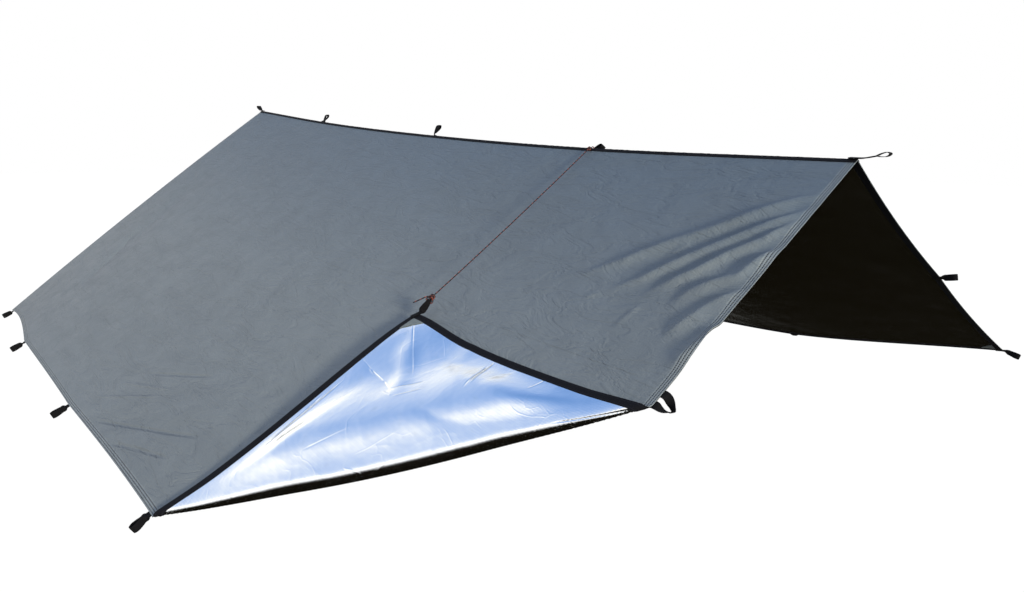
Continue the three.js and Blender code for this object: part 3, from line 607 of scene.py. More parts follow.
def press(finish, from_a, from_b, to_a, to_b, half_width, rise):
    """Relief of a straight crease on the cloth, from flat places in millimetres. It fades at its ends."""
    from_a, from_b, to_a, to_b = from_a * MM, from_b * MM, to_a * MM, to_b * MM
    length = math.hypot(to_a - from_a, to_b - from_b)
    way_a, way_b = (to_a - from_a) / length, (to_b - from_b) / length
    along = finish.a * way_a + finish.b * way_b - (from_a * way_a + from_b * way_b)
    off = finish.a * -way_b + finish.b * way_a + (from_a * way_b - from_b * way_a)
    fade = 0.2 * length
    ends = finish.rise(along, 0.0, fade) * finish.rise(length - along, 0.0, fade)
    finish.bump((1 - finish.rise(abs(off), 0.0, half_width * MM)) * ends, rise * MM)


# Lengths in the materials, in metres: from the cloth's middle to its edge, from the edge to each row of
# stitches, the steps of stitches, puckers and thick threads, and half widths of a stitch on cloth and on tape
EDGE = HALF * MM
HEM_LINES = (0.0035, 0.009, 0.0145)
STITCH = 0.0045
PUCKERS = 0.013
THREADS = 0.006
STITCH_ON_CLOTH = 0.0015
STITCH_ON_TAPE = 0.0008


def highest(values):
    top = values[0]
    for value in values[1:]:
        top = top.most(value)
    return top


def hem_stitches(finish):
    """Rows of stitches along each hem, the cloth inside the hem, and the puckers between stitches."""
    to_side = EDGE - abs(finish.a)
    to_end = EDGE - abs(finish.b)
    rows = []
    for across, along in ((to_side, finish.b), (to_end, finish.a)):
        dashes = finish.rise(along.repeat(STITCH), 0.0003, 0.0007)
        for line in HEM_LINES:
            rows.append(finish.line(across - line, STITCH_ON_CLOTH) * dashes)
    inside = finish.rise(to_side.least(to_end), 0.0165, 0.0195)
    puckers = finish.a.wave(PUCKERS) * finish.b.wave(PUCKERS)
    return highest(rows), inside, puckers


def ripstop(finish, half_width):
    """A grid of thicker threads."""
    return highest([finish.line(x.repeat(THREADS), half_width) for x in (finish.a, finish.b)])


def tinted(colour, share):
    return tuple(x * share for x in colour)


# Colours of the finishes, linear. The ridge share is the share of the cloth's colour that is left by the
# ridge, a painted shade and painted reflection of blue sky.
CLOTH_GREY = (0.16, 0.178, 0.196)
PATCH_GREY = (0.15, 0.17, 0.175)
RIDGE_PAINTED_SHADE_SHARE = (0.5, 0.62, 0.78)
THREAD = (0.012, 0.013, 0.016)
SILVER = (0.93, 0.95, 0.98)
WORN_SILVER = (0.7, 0.73, 0.78)
TAPE_BLACK = (0.0035, 0.0037, 0.006)
WEBBING_BLACK = (0.003, 0.003, 0.0042)
CORD_BLACK = (0.008, 0.007, 0.011)
CORD_RED = (0.42, 0.1, 0.07)
CORD_SHEEN = (0.03, 0.022, 0.028)


def make_outer_finish(name, colour, hemmed):
    """Grey coated ripstop with soft crumples, with painted shade and painted reflection of blue sky near the
    ridge, darker and bluer there.
    """
    finish = Finish(name, Specular_IOR_Level=0.22)
    cloudy = finish.noise(finish.spot, 1.6, 3, 0.55)
    mottle = finish.noise(finish.spot, 14, 4, 0.6)
    fine = finish.noise(finish.spot, 320, 2, 0.6)
    grid = ripstop(finish, 0.0007)
    # Painted shade and painted reflection of blue sky: the cloth is painted darker and bluer toward the
    # ridge.
    clear_of_painted_shade = finish.rise(abs(finish.b), -0.2, 1.0)
    painted_ridge_shade = tuple(x * share for x, share in zip(colour, RIDGE_PAINTED_SHADE_SHARE))
    tone = finish.mixed(clear_of_painted_shade, painted_ridge_shade, colour)
    shade = finish.rise(cloudy * 0.6 + mottle * 0.4, 0.35, 0.65)
    tone = finish.mixed(shade * 0.22, tone, tinted(colour, 0.55))
    tone = finish.mixed(fine * 0.25, tone, tinted(colour, 0.6))
    tone = finish.mixed(grid * 0.14, tone, tinted(colour, 1.25))
    long_way = finish.noise(finish.scaled(finish.spot, (1.0, 3.0, 1.0)), 5.5, 4, 0.62, 0.6)
    soft = finish.noise(finish.spot, 7.5, 3, 0.5, 0.3)
    small = abs(finish.noise(finish.scaled(finish.spot, (1.0, 1.8, 1.0)), 22, 3, 0.6, 0.8) - 0.5)
    finish.bump(soft, 0.006)
    finish.bump(finish.rise(abs(long_way - 0.5), 0.0, 0.09), 0.001)
    finish.bump(finish.rise(small, 0.0, 0.1), 0.0003)
    if hemmed:
        for row in PRESSED:
            press(finish, *row)
        stitches, inside, puckers = hem_stitches(finish)
        # Painted highlight: the cloth in the hem band is painted lighter, as light on the folded hem.
        tone = finish.mixed((1 - inside) * 0.35, tone, tinted(colour, 1.5))
        tone = finish.mixed(stitches * 0.92, tone, THREAD)
        finish.bump(inside * 0.4 + stitches * -0.35 + puckers * (1 - inside) * 0.3, 0.0011)
    finish.bump(grid, 0.00012)
    finish.wear(Base_Color=tone, Roughness=0.46 + mottle * 0.14 + grid * 0.05)
    return finish.material


# Half width of the foil's straight creases, in millimetres
FOIL_HALF_WIDTH = 3.5
# The relief goes on rising past the fold, to this height in metres. It levels out over 1 / CURL_LEVELS.
CURL_HEIGHT = 0.058
CURL_LEVELS = 11


def make_silver_finish(name):
    """Silvered coating, with a curl past the fold and with straight and scattered creases in relief."""
    finish = Finish(name, Metallic=1.0)
    bent = finish.noise(finish.spot, 3.5, 2, 0.5)
    shaken = finish.shifted(finish.spot, finish.noise(finish.spot, 5.0, 3, 0.5), 0.05)
    past_fold = ((finish.a - finish.b - FOLD_OUT * MM) * ROOT2 / 2).most(0)
    finish.bump(1 - (past_fold * -CURL_LEVELS).sum_with("EXPONENT"), CURL_HEIGHT)
    for from_along, from_past, to_along, to_past, rise in FOIL_LINES:
        start, end = on_turned_corner(from_along, from_past), on_turned_corner(to_along, to_past)
        press(finish, *start, *end, FOIL_HALF_WIDTH, rise)
    finish.bump(bent, 0.004)
    finish.bump(finish.facets(shaken, 9.0), 0.0022)
    finish.bump(finish.facets(finish.spot, 60.0), 0.00018)
    for scale, width, depth in ((11.0, 0.03, 0.00022), (30.0, 0.06, 0.00012)):
        shown = finish.rise(finish.noise(finish.spot, scale * 0.5, 2, 0.5), 0.48, 0.62)
        finish.bump((1 - finish.rise(finish.edges(shaken, scale), 0.0, width)) * shown, depth)
    grid = ripstop(finish, 0.0006)
    finish.bump(grid, 0.00005)
    worn = finish.rise(finish.noise(finish.spot, 24, 5, 0.7), 0.6, 0.74)
    tone = finish.mixed(worn * 0.2 + grid * 0.08, SILVER, WORN_SILVER)
    finish.wear(Base_Color=tone, Roughness=0.17 + worn * 0.08)
    return finish.material


def make_tape_finish(name, colour, step, lines):
    """Black woven tape. lines are the places of its stitch rows, as distances from the flat cut's edges."""
    finish = Finish(name, Specular_IOR_Level=0.12)
    twill = (finish.a + finish.b).wave(step)
    cross = (finish.a - finish.b).wave(step * 0.5)
    fluff = finish.noise(finish.spot, 700, 3, 0.7)
    tone = finish.mixed(twill * 0.5 + fluff * 0.4, tinted(colour, 0.5), tinted(colour, 1.9))
    to_edge = (EDGE - abs(finish.a)).least(EDGE - abs(finish.b))
    if lines:
        rows = highest([finish.line(to_edge - line, STITCH_ON_TAPE) for line in lines])
        tone = finish.mixed(rows * 0.6, tone, tinted(colour, 3.5))
        finish.bump(1 - rows, 0.0005)
    finish.bump(twill * 0.6 + cross * 0.4, 0.00025)
    finish.wear(Base_Color=tone, Roughness=0.78 + fluff * 0.15)
    return finish.material


BRAID = 0.0032


def make_cord_finish(name):
    """Dark braid with red flecks."""
    finish = Finish(name, Specular_IOR_Level=0.25)
    braid = (finish.a + finish.b * 1.4).wave(BRAID).least((finish.a - finish.b * 1.4).wave(BRAID))
    long_flecks = finish.rise((finish.a + finish.b * 0.9).wave(0.014), 0.68, 0.8)
    flecks = long_flecks * finish.rise(finish.b.wave(0.0047), 0.3, 0.5)
    tone = finish.mixed(flecks * 0.85, CORD_BLACK, CORD_RED)
    tone = finish.mixed(braid * 0.35, tone, CORD_SHEEN)
    finish.bump(braid, 0.0005)
    finish.wear(Base_Color=tone, Roughness=0.7 + braid * 0.15)
    return finish.material


outer_finish = make_outer_finish("grey_ripstop", CLOTH_GREY, True)
silver_finish = make_silver_finish("silver_coating")
tape_finish = make_tape_finish("black_tape", TAPE_BLACK, 0.0024, (HEM_LINES[0], HEM_LINES[2]))
webbing_finish = make_tape_finish("black_webbing", WEBBING_BLACK, 0.003, ())
patch_finish = make_outer_finish("patch_ripstop", PATCH_GREY, False)
cord_finish = make_cord_finish("flecked_cord")

# Webbing loops: flat place a and b, face of the cloth, way out, axis of the eye, reach, and half height of
# the eye
LOOPS = {
    "ridge_far_end": (-1489, 0, 1, (-0.8, 0, 0.6), (0, 1, 0), 50, 5),
    "ridge_near_end": (1489, 0, 1, (0.98, 0, 0.2), (0, 1, 0), 80, 4.6),
    "ridge_1": (-872, 13, 1, (0, 0.6, 0.8), (1, 0, 0), 62, 5.4),
    "ridge_2": (-46, 13, 1, (0, 0.6, 0.8), (1, 0, 0), 62, 5.4),
    "ridge_3": (698, 22, 1, (0.88, 0.2, 0.4), (0.1, 0.86, -0.5), 58, 5.4),
    "near_left": (-1488, -1488, -1, (-0.1, -0.9, -0.4), (0, -0.4, 0.9), 54, 5.4),
    "near_1": (-750, -1489, -1, (0, -0.91, -0.41), (0, -0.45, 0.89), 58, 5.4),
    "near_2": (0, -1489, -1, (0, -0.91, -0.41), (0, -0.45, 0.89), 58, 5.4),
    "near_3": (722, -1489, -1, (0.05, -0.85, -0.52), (0, -0.45, 0.89), 56, 6),
    "turned": (1488, -1488, -1, (0.26, 0.55, 0.79), (0.64, 0.52, -0.57), 56, 4.6),
    "right_near": (1489, -722, -1, (0.58, 0.44, -0.69), None, 31, 14),
    "right_far": (1489, 750, -1, (0.97, 0, 0.2), (0, 0, 1), 58, 5.4),
    "far_right": (1488, 1488, -1, (0.96, 0, -0.27), (0, 0, 1), 68, 5.4),
    "far_1": (-750, 1489, -1, (0, 0.98, 0.2), (1, 0, 0), 58, 5.4),
    "far_2": (0, 1489, -1, (0, 0.98, 0.2), (1, 0, 0), 58, 5.4),
    "far_3": (750, 1489, -1, (0, 0.98, 0.2), (1, 0, 0), 58, 5.4),
    "far_left": (-1488, 1488, -1, (-0.95, 0, -0.3), (0, 0, 1), 58, 5.4),
    "left_near": (-1489, -750, -1, (-0.7, 0, -0.71), (-0.71, 0, 0.7), 58, 5.4),
    "left_far": (-1489, 750, -1, (-0.7, 0, -0.71), (-0.71, 0, 0.7), 58, 5.4),
}
# Each loop is sewn down from BASE_BACK inside its flat place to BASE_OUT outside it
BASE_BACK = 8.0
BASE_OUT = 16.0
EYE_LENGTH = 28.0
BUNCHED = 12.0
# One half of the eye's outline, as shares of its length and of its half height
EYE_OUTLINE = [(0, 0), (0.25, 0.5), (0.5, 0.86), (0.72, 1), (0.9, 0.7), (1, 0.24)]
# The right side's near loop is sewn down by each end of its webbing, one beside the other. One leg of it:
# distance out in the cloth, share of the reach, share of the half spread, share of the turn to its axis
SPREAD_LEG = [
    (-8, 0, 1, 0),
    (13, 0, 1, 0),
    (17, 0.2, 0.95, 0.25),
    (17, 0.48, 0.74, 0.5),
    (17, 0.74, 0.47, 0.78),
    (17, 0.93, 0.22, 0.95),
]


def on_cloth(a, b):
    """Place and outward normal of one flat point of the cloth."""
    flat_a, flat_b = np.array([float(a)]), np.array([float(b)])
    return cloth(flat_a, flat_b)[0], normal_of(cloth, flat_a, flat_b)[0]


def webbing_frame(place, along, across_hint):
    through = unit(np.cross(across_hint, along))
    return {"place": place, "along": along, "across": unit(np.cross(along, through)), "through": through}


def loop_spine(name):
    """Frames along the middle of a loop's webbing, from its sewn base to the start of its eye."""
    a, b, face, out, eye, reach, _ = LOOPS[name]
    place, up = on_cloth(a, b)
    end = unit(np.array(out, float))
    flat = unit(end - up * end.dot(up))
    place = place + up * face * (OVER + TAPE + GAP + WEBBING)
    eye = unit(np.array(eye, float))
    start = webbing_frame(place, flat, np.cross(flat, up))
    if start["across"].dot(eye) < 0:
        start["across"], start["through"] = -start["across"], -start["through"]
    finish = webbing_frame(place, end, eye)
    stem = reach - BASE_OUT - EYE_LENGTH
    bend = unit(flat + end)
    frames = []
    moves = [(-BASE_BACK, flat, 0), (BASE_BACK + BASE_OUT, flat, 0)]
    moves += [(stem * 0.35, bend, 0.4), (stem * 0.3, end, 0.8), (stem * 0.35, end, 1)]
    for move, way, turn in moves:
        place = place + way * move
        along = unit(start["along"] * (1 - turn) + end * turn)
        across = start["across"] * (1 - turn) + finish["across"] * turn
        frames.append(webbing_frame(place, along, across))
    return frames


def in_frame(f, along, across, through):
    return f["place"] + f["along"] * along + f["across"] * across + f["through"] * through


def doubled_rows(name):
    """Webbing that runs out from its base, round the eye and back: places, ways across and widths."""
    half_height = LOOPS[name][6]
    tip_width = BUNCHED if name == "turned" else WEBBING_WIDTH
    spine = loop_spine(name)
    eye = spine[-1]
    out = [(f, 0.0, WEBBING / 2, WEBBING_WIDTH) for f in spine[:-1]]
    back = [(f, 0.0, -WEBBING / 2, WEBBING_WIDTH) for f in reversed(spine[:-1])]
    outline = [(x * EYE_LENGTH, WEBBING / 2 + y * (half_height - WEBBING / 2)) for x, y in EYE_OUTLINE]
    outline.append((EYE_LENGTH + WEBBING / 2, 0.0))
    outline += [(x, -y) for x, y in reversed(outline[:-1])]
    bend = []
    for x, y in outline:
        share = float(smooth(x / EYE_LENGTH))
        bend.append((eye, x, y, WEBBING_WIDTH * (1 - share) + tip_width * share))
    return [(in_frame(f, x, 0, y), f["across"], width) for f, x, y, width in out + bend + back]


def spread_rows(name):
    """Webbing sewn down at two places side by side, with its legs turned and brought together."""
    a, b, face, out, _, reach, half_spread = LOOPS[name]
    place, up = on_cloth(a, b)
    end = unit(np.array(out, float))
    flat = unit(end - up * end.dot(up))
    beside = np.cross(flat, up)
    eye = unit(np.cross(beside, end))
    place = place + up * face * (OVER + TAPE + GAP + WEBBING / 2)
    legs = []
    for side in (1, -1):
        leg = []
        for far, share, apart, turn in SPREAD_LEG:
            spot = place + flat * far + end * share * reach + beside * side * apart * half_spread
            leg.append((spot, unit(beside * side * (1 - turn) + eye * turn), WEBBING_WIDTH))
        legs.append(leg)
    tip = (place + flat * SPREAD_LEG[-1][0] + end * reach, eye, WEBBING_WIDTH)
    return legs[0] + [tip] + legs[1][::-1]


def loop_mesh(name):
    """A loop as one ribbon with rounded edges."""
    rows = spread_rows(name) if LOOPS[name][4] is None else doubled_rows(name)
    middle = curve_through([place for place, _, _ in rows], 4 * len(rows))
    across = curve_through([way for _, way, _ in rows], 4 * len(rows))
    widths = curve_through([(width, 0, 0) for _, _, width in rows], 4 * len(rows))[:, 0]
    ways = unit(np.gradient(middle, axis=0))
    across = unit(across - ways * (across * ways).sum(1, keepdims=True))
    through = np.cross(ways, across)
    section = []
    edge = WEBBING / 2 * 0.92
    for share in (-1.0, -0.6, -0.2, 0.2, 0.6, 1.0):
        section.append((share, edge * (0.55 if abs(share) == 1 else 1)))
    section += [(share, -thick) for share, thick in reversed(section)]
    points, spots = [], []
    far = np.concatenate([[0], np.cumsum(np.linalg.norm(np.diff(middle, axis=0), axis=1))])
    for i in range(len(middle)):
        for share, thick in section:
            points.append(middle[i] + across[i] * share * widths[i] / 2 + through[i] * thick)
            spots.append((far[i], share * WEBBING_WIDTH / 2, 0))
    count = len(section)
    faces = []
    for i in range(len(middle) - 1):
        for k in range(count):
            n = (k + 1) % count
            faces.append((i * count + k, (i + 1) * count + k, (i + 1) * count + n, i * count + n))
    faces.append(tuple(range(count)))
    faces.append(tuple(reversed(range(len(points) - count, len(points)))))
    return np.array(points), faces, np.array(spots)


# Tie-up cord: the radius of each knot, how deep its wraps lie in it, and the flat place of the high one
LOW_SIZE = 6.5
HIGH_SIZE = 4.5
WRAP_IN = 0.6
HIGH_AT = (731.0, -9.0)
CORD_SAG = 4.0
CORD_POINTS = 25
TIED = loop_spine("turned")[-1]
LOW_KNOT = in_frame(TIED, EYE_LENGTH + 9.5, 0, 0)


def on_outer_face(a, b, stand_off):
    """A place over the ridge tape."""
    place, up = on_cloth(a, b)
    return place + up * (OVER + TAPE + GAP + stand_off)


HIGH_KNOT = on_outer_face(*HIGH_AT, HIGH_SIZE - WRAP_IN + CORD / 2)
PULL = unit(HIGH_KNOT - LOW_KNOT)


def cord_route():
    low, high = LOW_KNOT + PULL * (LOW_SIZE + GAP), HIGH_KNOT - PULL * (HIGH_SIZE + GAP)
    q = np.linspace(0, 1, CORD_POINTS)[:, None]
    route = low * (1 - q) + high * q
    route[:, 2] -= (CORD_SAG * 4 * q * (1 - q))[:, 0]
    return route


def ring_route(centre, way, radius, turns, rise):
    """A wrap of cord round a knot: a turn about way, rising along it."""
    side = unit(np.cross(way, (0.3, 0.2, 0.93)))
    other = np.cross(way, side)
    angles = np.linspace(0, 2 * math.pi * turns, int(20 * turns) + 1)
    climb = rise * np.linspace(-0.5, 0.5, len(angles))
    ring = side * np.cos(angles)[:, None] + other * np.sin(angles)[:, None]
    return centre + ring * radius + way * climb[:, None]


def joined(parts):
    points, faces, spots = [], [], []
    count = 0
    for part_points, part_faces, part_spots in parts:
        points.append(part_points)
        spots.append(part_spots)
        faces += [tuple(v + count for v in face) for face in part_faces]
        count += len(part_points)
    return np.concatenate(points), faces, np.concatenate(spots)


# The bight through the loop's eye, as (along, across) from the eye's tip. The free tail, from the knot.
# The cord's way over the ridge, as (flat place a, b, lift).
HALF_BIGHT = [(7, 1.5), (5, 6), (1, 8.3), (-3, 8.3), (-5, 5), (-5.2, 0)]
BIGHT = HALF_BIGHT + [(along, -across) for along, across in HALF_BIGHT[-2::-1]]
TAIL = [(-3, -2, 2), (-12, -9, 0), (-24, -21, -8), (-37, -31, -16)]
OVER_RIDGE = [(732, -5, 0.6), (734, 0, 1.6), (736, 7, 0)]


def knot_piece(name, node, centre, size, extra):
    """A knot: wraps of cord round the way it is pulled, and the runs of cord that come out of it."""
    radius = size - WRAP_IN
    crossing = unit(PULL + np.array([0.5, -0.4, 0.6]))
    routes = [
        ring_route(centre, PULL, radius - 0.4, turns=4, rise=1.7 * size),
        ring_route(centre, crossing, radius + 0.3, turns=1.3, rise=3),
        curve_through([centre - PULL * size, centre, centre + PULL * size], 6),
    ]
    parts = [tube(route, CORD / 2) for route in routes + extra]
    return add_mesh(name, *joined(parts), [cord_finish], "cord", [node])


def make_cord():
    route = cord_route()
    fine = curve_through(route, 4 * (len(route) - 1) + 1)
    cord = add_mesh("tie_cord", *tube(fine, CORD / 2), [cord_finish], "cord", ["cord"])
    bight = curve_through([in_frame(TIED, EYE_LENGTH + along, across, 0) for along, across in BIGHT], 40)
    tail = curve_through([LOW_KNOT + np.array(place, float) for place in TAIL], 20)
    over_places = [on_outer_face(a, b, CORD / 2 + lift) for a, b, lift in OVER_RIDGE]
    over = curve_through([HIGH_KNOT] + over_places, 16)
    knots = [
        knot_piece("corner_knot", "knot_low", LOW_KNOT, LOW_SIZE, [bight, tail]),
        knot_piece("ridge_knot", "knot_high", HIGH_KNOT, HIGH_SIZE, [over]),
    ]
    tuple(route[0] * MM)
    [tuple(p) for p in (route * MM).tolist()]


make_cord()


# Steps of the cloth's mesh along the ridge and across it. They are halved in its fine parts.
COARSE_A = 15.0
FINE_A = 10.0
FINE_FROM = 690.0
NEAR_B = 15.0
FAR_B = 37.5
FINE_BEFORE_FOLD = -45
# The fan of folds, as (from a, from b, to b)
FAN = (1020, -720, -90)


def spread(start, end, step):
    """Even places from start to end, about a step apart."""
    return np.linspace(start, end, max(1, round((end - start) / step)) + 1)


def grid_lines():
    a_lines = np.concatenate([
        [-HALF, -BAND],
        spread(-BAND, FINE_FROM, COARSE_A)[1:],
        spread(FINE_FROM, BAND, FINE_A)[1:],
        [HALF],
    ])
    b_lines = np.concatenate([
        [-HALF, -BAND],
        spread(-BAND, -RIDGE_TAPE_HALF, NEAR_B)[1:],
        [0, RIDGE_TAPE_HALF],
        spread(RIDGE_TAPE_HALF, BAND, FAR_B)[1:],
        [HALF],
    ])
    return a_lines, b_lines


def is_fine(a, b):
    """True past the fold and where the folds fan out from the ridge's near end."""
    beyond, _ = fold_place(a, b)
    from_a, from_b, to_b = FAN
    return (beyond > FINE_BEFORE_FOLD) | ((a > from_a) & (b > from_b) & (b < to_b))


def flat_mesh():
    """Flat points and faces of the cloth: cells, each cut in four where the mesh is fine. A coarse cell has
    one more corner on each side that it shares with a fine one."""
    a_lines, b_lines = grid_lines()
    middles_a, middles_b = (a_lines[1:] + a_lines[:-1]) / 2, (b_lines[1:] + b_lines[:-1]) / 2
    fine = is_fine(middles_a[:, None], middles_b[None, :])
    half_a = np.sort(np.concatenate([a_lines, middles_a]))
    half_b = np.sort(np.concatenate([b_lines, middles_b]))
    index, points, faces = {}, [], []

    def corner(i, j):
        if (i, j) not in index:
            index[i, j] = len(points)
            points.append((half_a[i], half_b[j]))
        return index[i, j]

    def fine_at(i, j):
        return 0 <= i < fine.shape[0] and 0 <= j < fine.shape[1] and fine[i, j]

    for i in range(fine.shape[0]):
        for j in range(fine.shape[1]):
            u, v = 2 * i, 2 * j
            if fine[i, j]:
                for du, dv in ((0, 0), (1, 0), (1, 1), (0, 1)):
                    s, t = u + du, v + dv
                    faces.append((corner(s, t), corner(s + 1, t), corner(s + 1, t + 1), corner(s, t + 1)))
                continue
            ring = []
            for du, dv, beside_i, beside_j in ((0, 0, 0, -1), (2, 0, 1, 0), (2, 2, 0, 1), (0, 2, -1, 0)):
                ring.append(corner(u + du, v + dv))
                if fine_at(i + beside_i, j + beside_j):
                    ring.append(corner(u + du - beside_j, v + dv + beside_i))
            faces.append(tuple(ring))
    return np.array(points, float), faces


def rim_of(faces):
    """Edges used by one face only, as they run in that face."""
    edges = {}
    for face in faces:
        for p, q in zip(face, face[1:] + face[:1]):
            if (q, p) in edges:
                del edges[q, p]
            else:
                edges[p, q] = True
    return list(edges)


def shell(flat, faces, low, high):
    """A closed sheet between two heights over the cloth's middle: its points, faces, spots, and 1 for each
    face that looks inward."""
    a, b = flat[:, 0], flat[:, 1]
    place, up = cloth(a, b), normal_of(cloth, a, b)
    count = len(flat)
    points = np.concatenate([place + up * low, place + up * high])
    upper = [tuple(v + count for v in face) for face in faces]
    lower = [tuple(reversed(face)) for face in faces]
    rim = [(p, q, q + count, p + count) for p, q in rim_of(faces)]
    inward = [0] * len(upper) + [1] * len(lower) + [0] * len(rim)
    spots = np.concatenate([np.column_stack([flat, np.zeros(count)])] * 2)
    return points, upper + lower + rim, spots, inward


def make_cloth():
    points, faces, spots, inward = shell(*flat_mesh(), -SHEET / 2, SHEET / 2)
    finishes = [outer_finish, silver_finish]
    return add_mesh("tarp_cloth", points, faces, spots, finishes, "outer_cloth", ["cloth"], inward)


def strip(corners, steps_along, steps_across):
    """Flat points and faces of a band between four flat corners, given round it."""
    p, q, r, s = (np.array(c, float) for c in corners)
    u = np.linspace(0, 1, steps_along + 1)[:, None, None]
    v = np.linspace(0, 1, steps_across + 1)[None, :, None]
    flat = p * (1 - u) * (1 - v) + q * u * (1 - v) + r * u * v + s * (1 - u) * v
    wide = steps_across + 1
    faces = []
    for i in range(steps_along):
        for j in range(steps_across):
            k = i * wide + j
            faces.append((k, k + wide, k + wide + 1, k + 1))
    return flat.reshape(-1, 2), faces


# Steps of the meshes of tapes and patches
TAPE_STEP = 7.5
TAPE_STEPS_ACROSS = 4
PATCH_STEPS = 6


def make_tape(name, node, corners, low):
    length = np.hypot(*(np.array(corners[1]) - np.array(corners[0])))
    flat, faces = strip(corners, int(length / TAPE_STEP), TAPE_STEPS_ACROSS)
    points, faces, spots, _ = shell(flat, faces, low, low + TAPE)
    add_mesh(name, points, faces, spots, [tape_finish], "tape", [node])


def make_patch(name, side_a, side_b):
    """A corner patch: a triangle with its right angle in the cloth's corner."""
    steps = PATCH_STEPS
    start, step = BAND - GAP, PATCH_LEG / steps
    flat, faces, index = [], [], {}
    for i in range(steps + 1):
        for j in range(steps + 1 - i):
            index[i, j] = len(flat)
            flat.append((side_a * (start - i * step), side_b * (start - j * step)))
    for i in range(steps):
        for j in range(steps - i):
            faces.append((index[i, j], index[i + 1, j], index[i, j + 1]))
            if i + j + 2 <= steps:
                faces.append((index[i + 1, j], index[i + 1, j + 1], index[i, j + 1]))
    if side_a * side_b < 0:
        faces = [tuple(reversed(face)) for face in faces]
    top = -SHEET / 2 - PATCH_GAP
    points, faces, spots, _ = shell(np.array(flat), faces, top - PATCH, top)
    add_mesh(f"corner_patch_{name}", points, faces, spots, [patch_finish], "patch_cloth", [f"patch_{name}"])


def make_trimmings():
    """Tapes, corner patches and loops."""
    rim, inner, side, end = HALF, BAND, RIDGE_TAPE_HALF, BAND - GAP
    under = -OVER - TAPE
    make_tape("ridge_band", "ridge_tape", [(-rim, -side), (rim, -side), (rim, side), (-rim, side)], OVER)
    make_tape("near_band", "tape_near", [(-rim, -rim), (rim, -rim), (rim, -inner), (-rim, -inner)], under)
    make_tape("far_band", "tape_far", [(rim, rim), (-rim, rim), (-rim, inner), (rim, inner)], under)
    make_tape("right_band", "tape_right", [(rim, -end), (rim, end), (inner, end), (inner, -end)], under)
    make_tape("left_band", "tape_left", [(-rim, end), (-rim, -end), (-inner, -end), (-inner, end)], under)
    make_patch("near_left", -1, -1)
    make_patch("turned", 1, -1)
    make_patch("far_right", 1, 1)
    make_patch("far_left", -1, 1)
    for name in LOOPS:
        add_mesh(f"webbing_{name}", *loop_mesh(name), [webbing_finish], "webbing", [f"loop_{name}"])


tarp = make_cloth()
make_trimmings()


# Stage and light, in metres
FLOOR = -0.86
FLOOR_HALF = 14.0
FLOOR_FINISH = {
    "Base Color": (0.04, 0.04, 0.04, 1),
    "Roughness": 1.0,
    "Specular IOR Level": 0.0,
    "Emission Color": (1, 1, 1, 1),
    "Emission Strength": 0.985,
}


def make_stage():
    """A white floor that the camera alone sees."""
    mesh = bpy.data.meshes.new("floor")
    corners = [(x * FLOOR_HALF, y * FLOOR_HALF, FLOOR) for x, y in ((-1, -1), (1, -1), (1, 1), (-1, 1))]
    mesh.from_pydata(corners, [], [(0, 1, 2, 3)])
    floor = bpy.data.objects.new("floor", mesh)
    bpy.context.scene.collection.objects.link(floor)
    material = bpy.data.materials.new("pale_floor")
    material.use_nodes = True
    shader = material.node_tree.nodes["Principled BSDF"]
    for label, value in FLOOR_FINISH.items():
        shader.inputs[label].default_value = value
    mesh.materials.append(material)
    for rays in ("diffuse", "glossy", "transmission", "shadow"):
        setattr(floor, f"visible_{rays}", False)


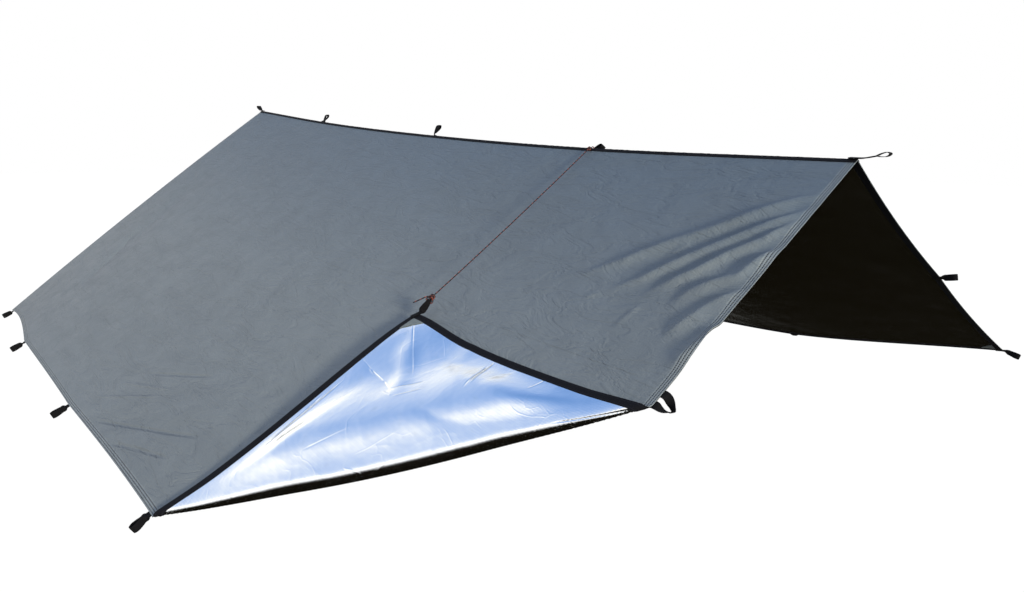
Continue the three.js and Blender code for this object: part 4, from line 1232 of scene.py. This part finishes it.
# Sky in reflections and sky as light, as (height from straight down at 0 to overhead at 1, colour)
GLOSSY_SKY = [
    (0.0, (0.003, 0.0022, 0.0005)),
    (0.22, (0.0034, 0.0024, 0.0005)),
    (0.27, (0.12, 0.12, 0.11)),
    (0.32, (0.55, 0.56, 0.56)),
    (0.4, (0.9, 0.9, 0.9)),
    (0.5, (1.1, 1.08, 1.02)),
    (0.6, (1.5, 1.46, 1.35)),
    (0.68, (1.2, 1.19, 1.15)),
    (0.74, (0.9, 0.95, 1.02)),
    (0.79, (0.6, 0.72, 0.95)),
    (0.85, (0.43, 0.58, 0.88)),
    (0.92, (0.27, 0.44, 0.8)),
    (1.0, (0.15, 0.31, 0.66)),
]
SOFT_SKY = [
    (0.0, (0.2, 0.2, 0.2)),
    (0.48, (0.3, 0.3, 0.3)),
    (0.52, (0.74, 0.82, 0.92)),
    (1.0, (0.7, 0.82, 1.0)),
]


def make_world():
    """A bright sky, white low down and blue overhead, over dark ground. The camera sees plain white."""
    world = bpy.data.worlds.new("sky")
    bpy.context.scene.world = world
    world.use_nodes = True
    world.node_tree.nodes.clear()
    nodes = Nodes(world.node_tree)
    way = nodes.add("ShaderNodeTexCoord")
    height = nodes.add("ShaderNodeSeparateXYZ", {}, {0: way}, output="Z") * 0.5 + 0.5
    glossy = nodes.add("ShaderNodeValToRGB", {"stops": GLOSSY_SKY}, {0: height})
    soft = nodes.add("ShaderNodeValToRGB", {"stops": SOFT_SKY}, {0: height})
    of_glossy = nodes.add("ShaderNodeLightPath", output="Is Glossy Ray")
    of_camera = nodes.add("ShaderNodeLightPath", output="Is Camera Ray")
    sky = nodes.mixed(of_camera, nodes.mixed(of_glossy, soft, glossy), (1.0, 1.0, 1.0))
    background = nodes.add("ShaderNodeBackground", {}, {"Color": sky, "Strength": 1.0})
    nodes.add("ShaderNodeOutputWorld", {}, {0: background})


# Where the sun stands, and its strength, width in degrees and colour
SUN_FROM = (0.96, -0.16, 0.19)
SUN_STRENGTH = 4.8
SUN_WIDTH = 9
SUN_COLOUR = (1.0, 0.92, 0.7)


def make_sun():
    """Low warm light along the ridge from the near end, which picks out the folds."""
    data = bpy.data.lights.new("low_sun", "SUN")
    data.energy = SUN_STRENGTH
    data.angle = math.radians(SUN_WIDTH)
    data.color = SUN_COLOUR
    sun = bpy.data.objects.new("low_sun", data)
    sun.rotation_euler = Vector(SUN_FROM).to_track_quat("Z", "Y").to_euler()
    bpy.context.scene.collection.objects.link(sun)


make_stage()
make_world()
make_sun()
bpy.context.scene.view_settings.view_transform = "Standard"
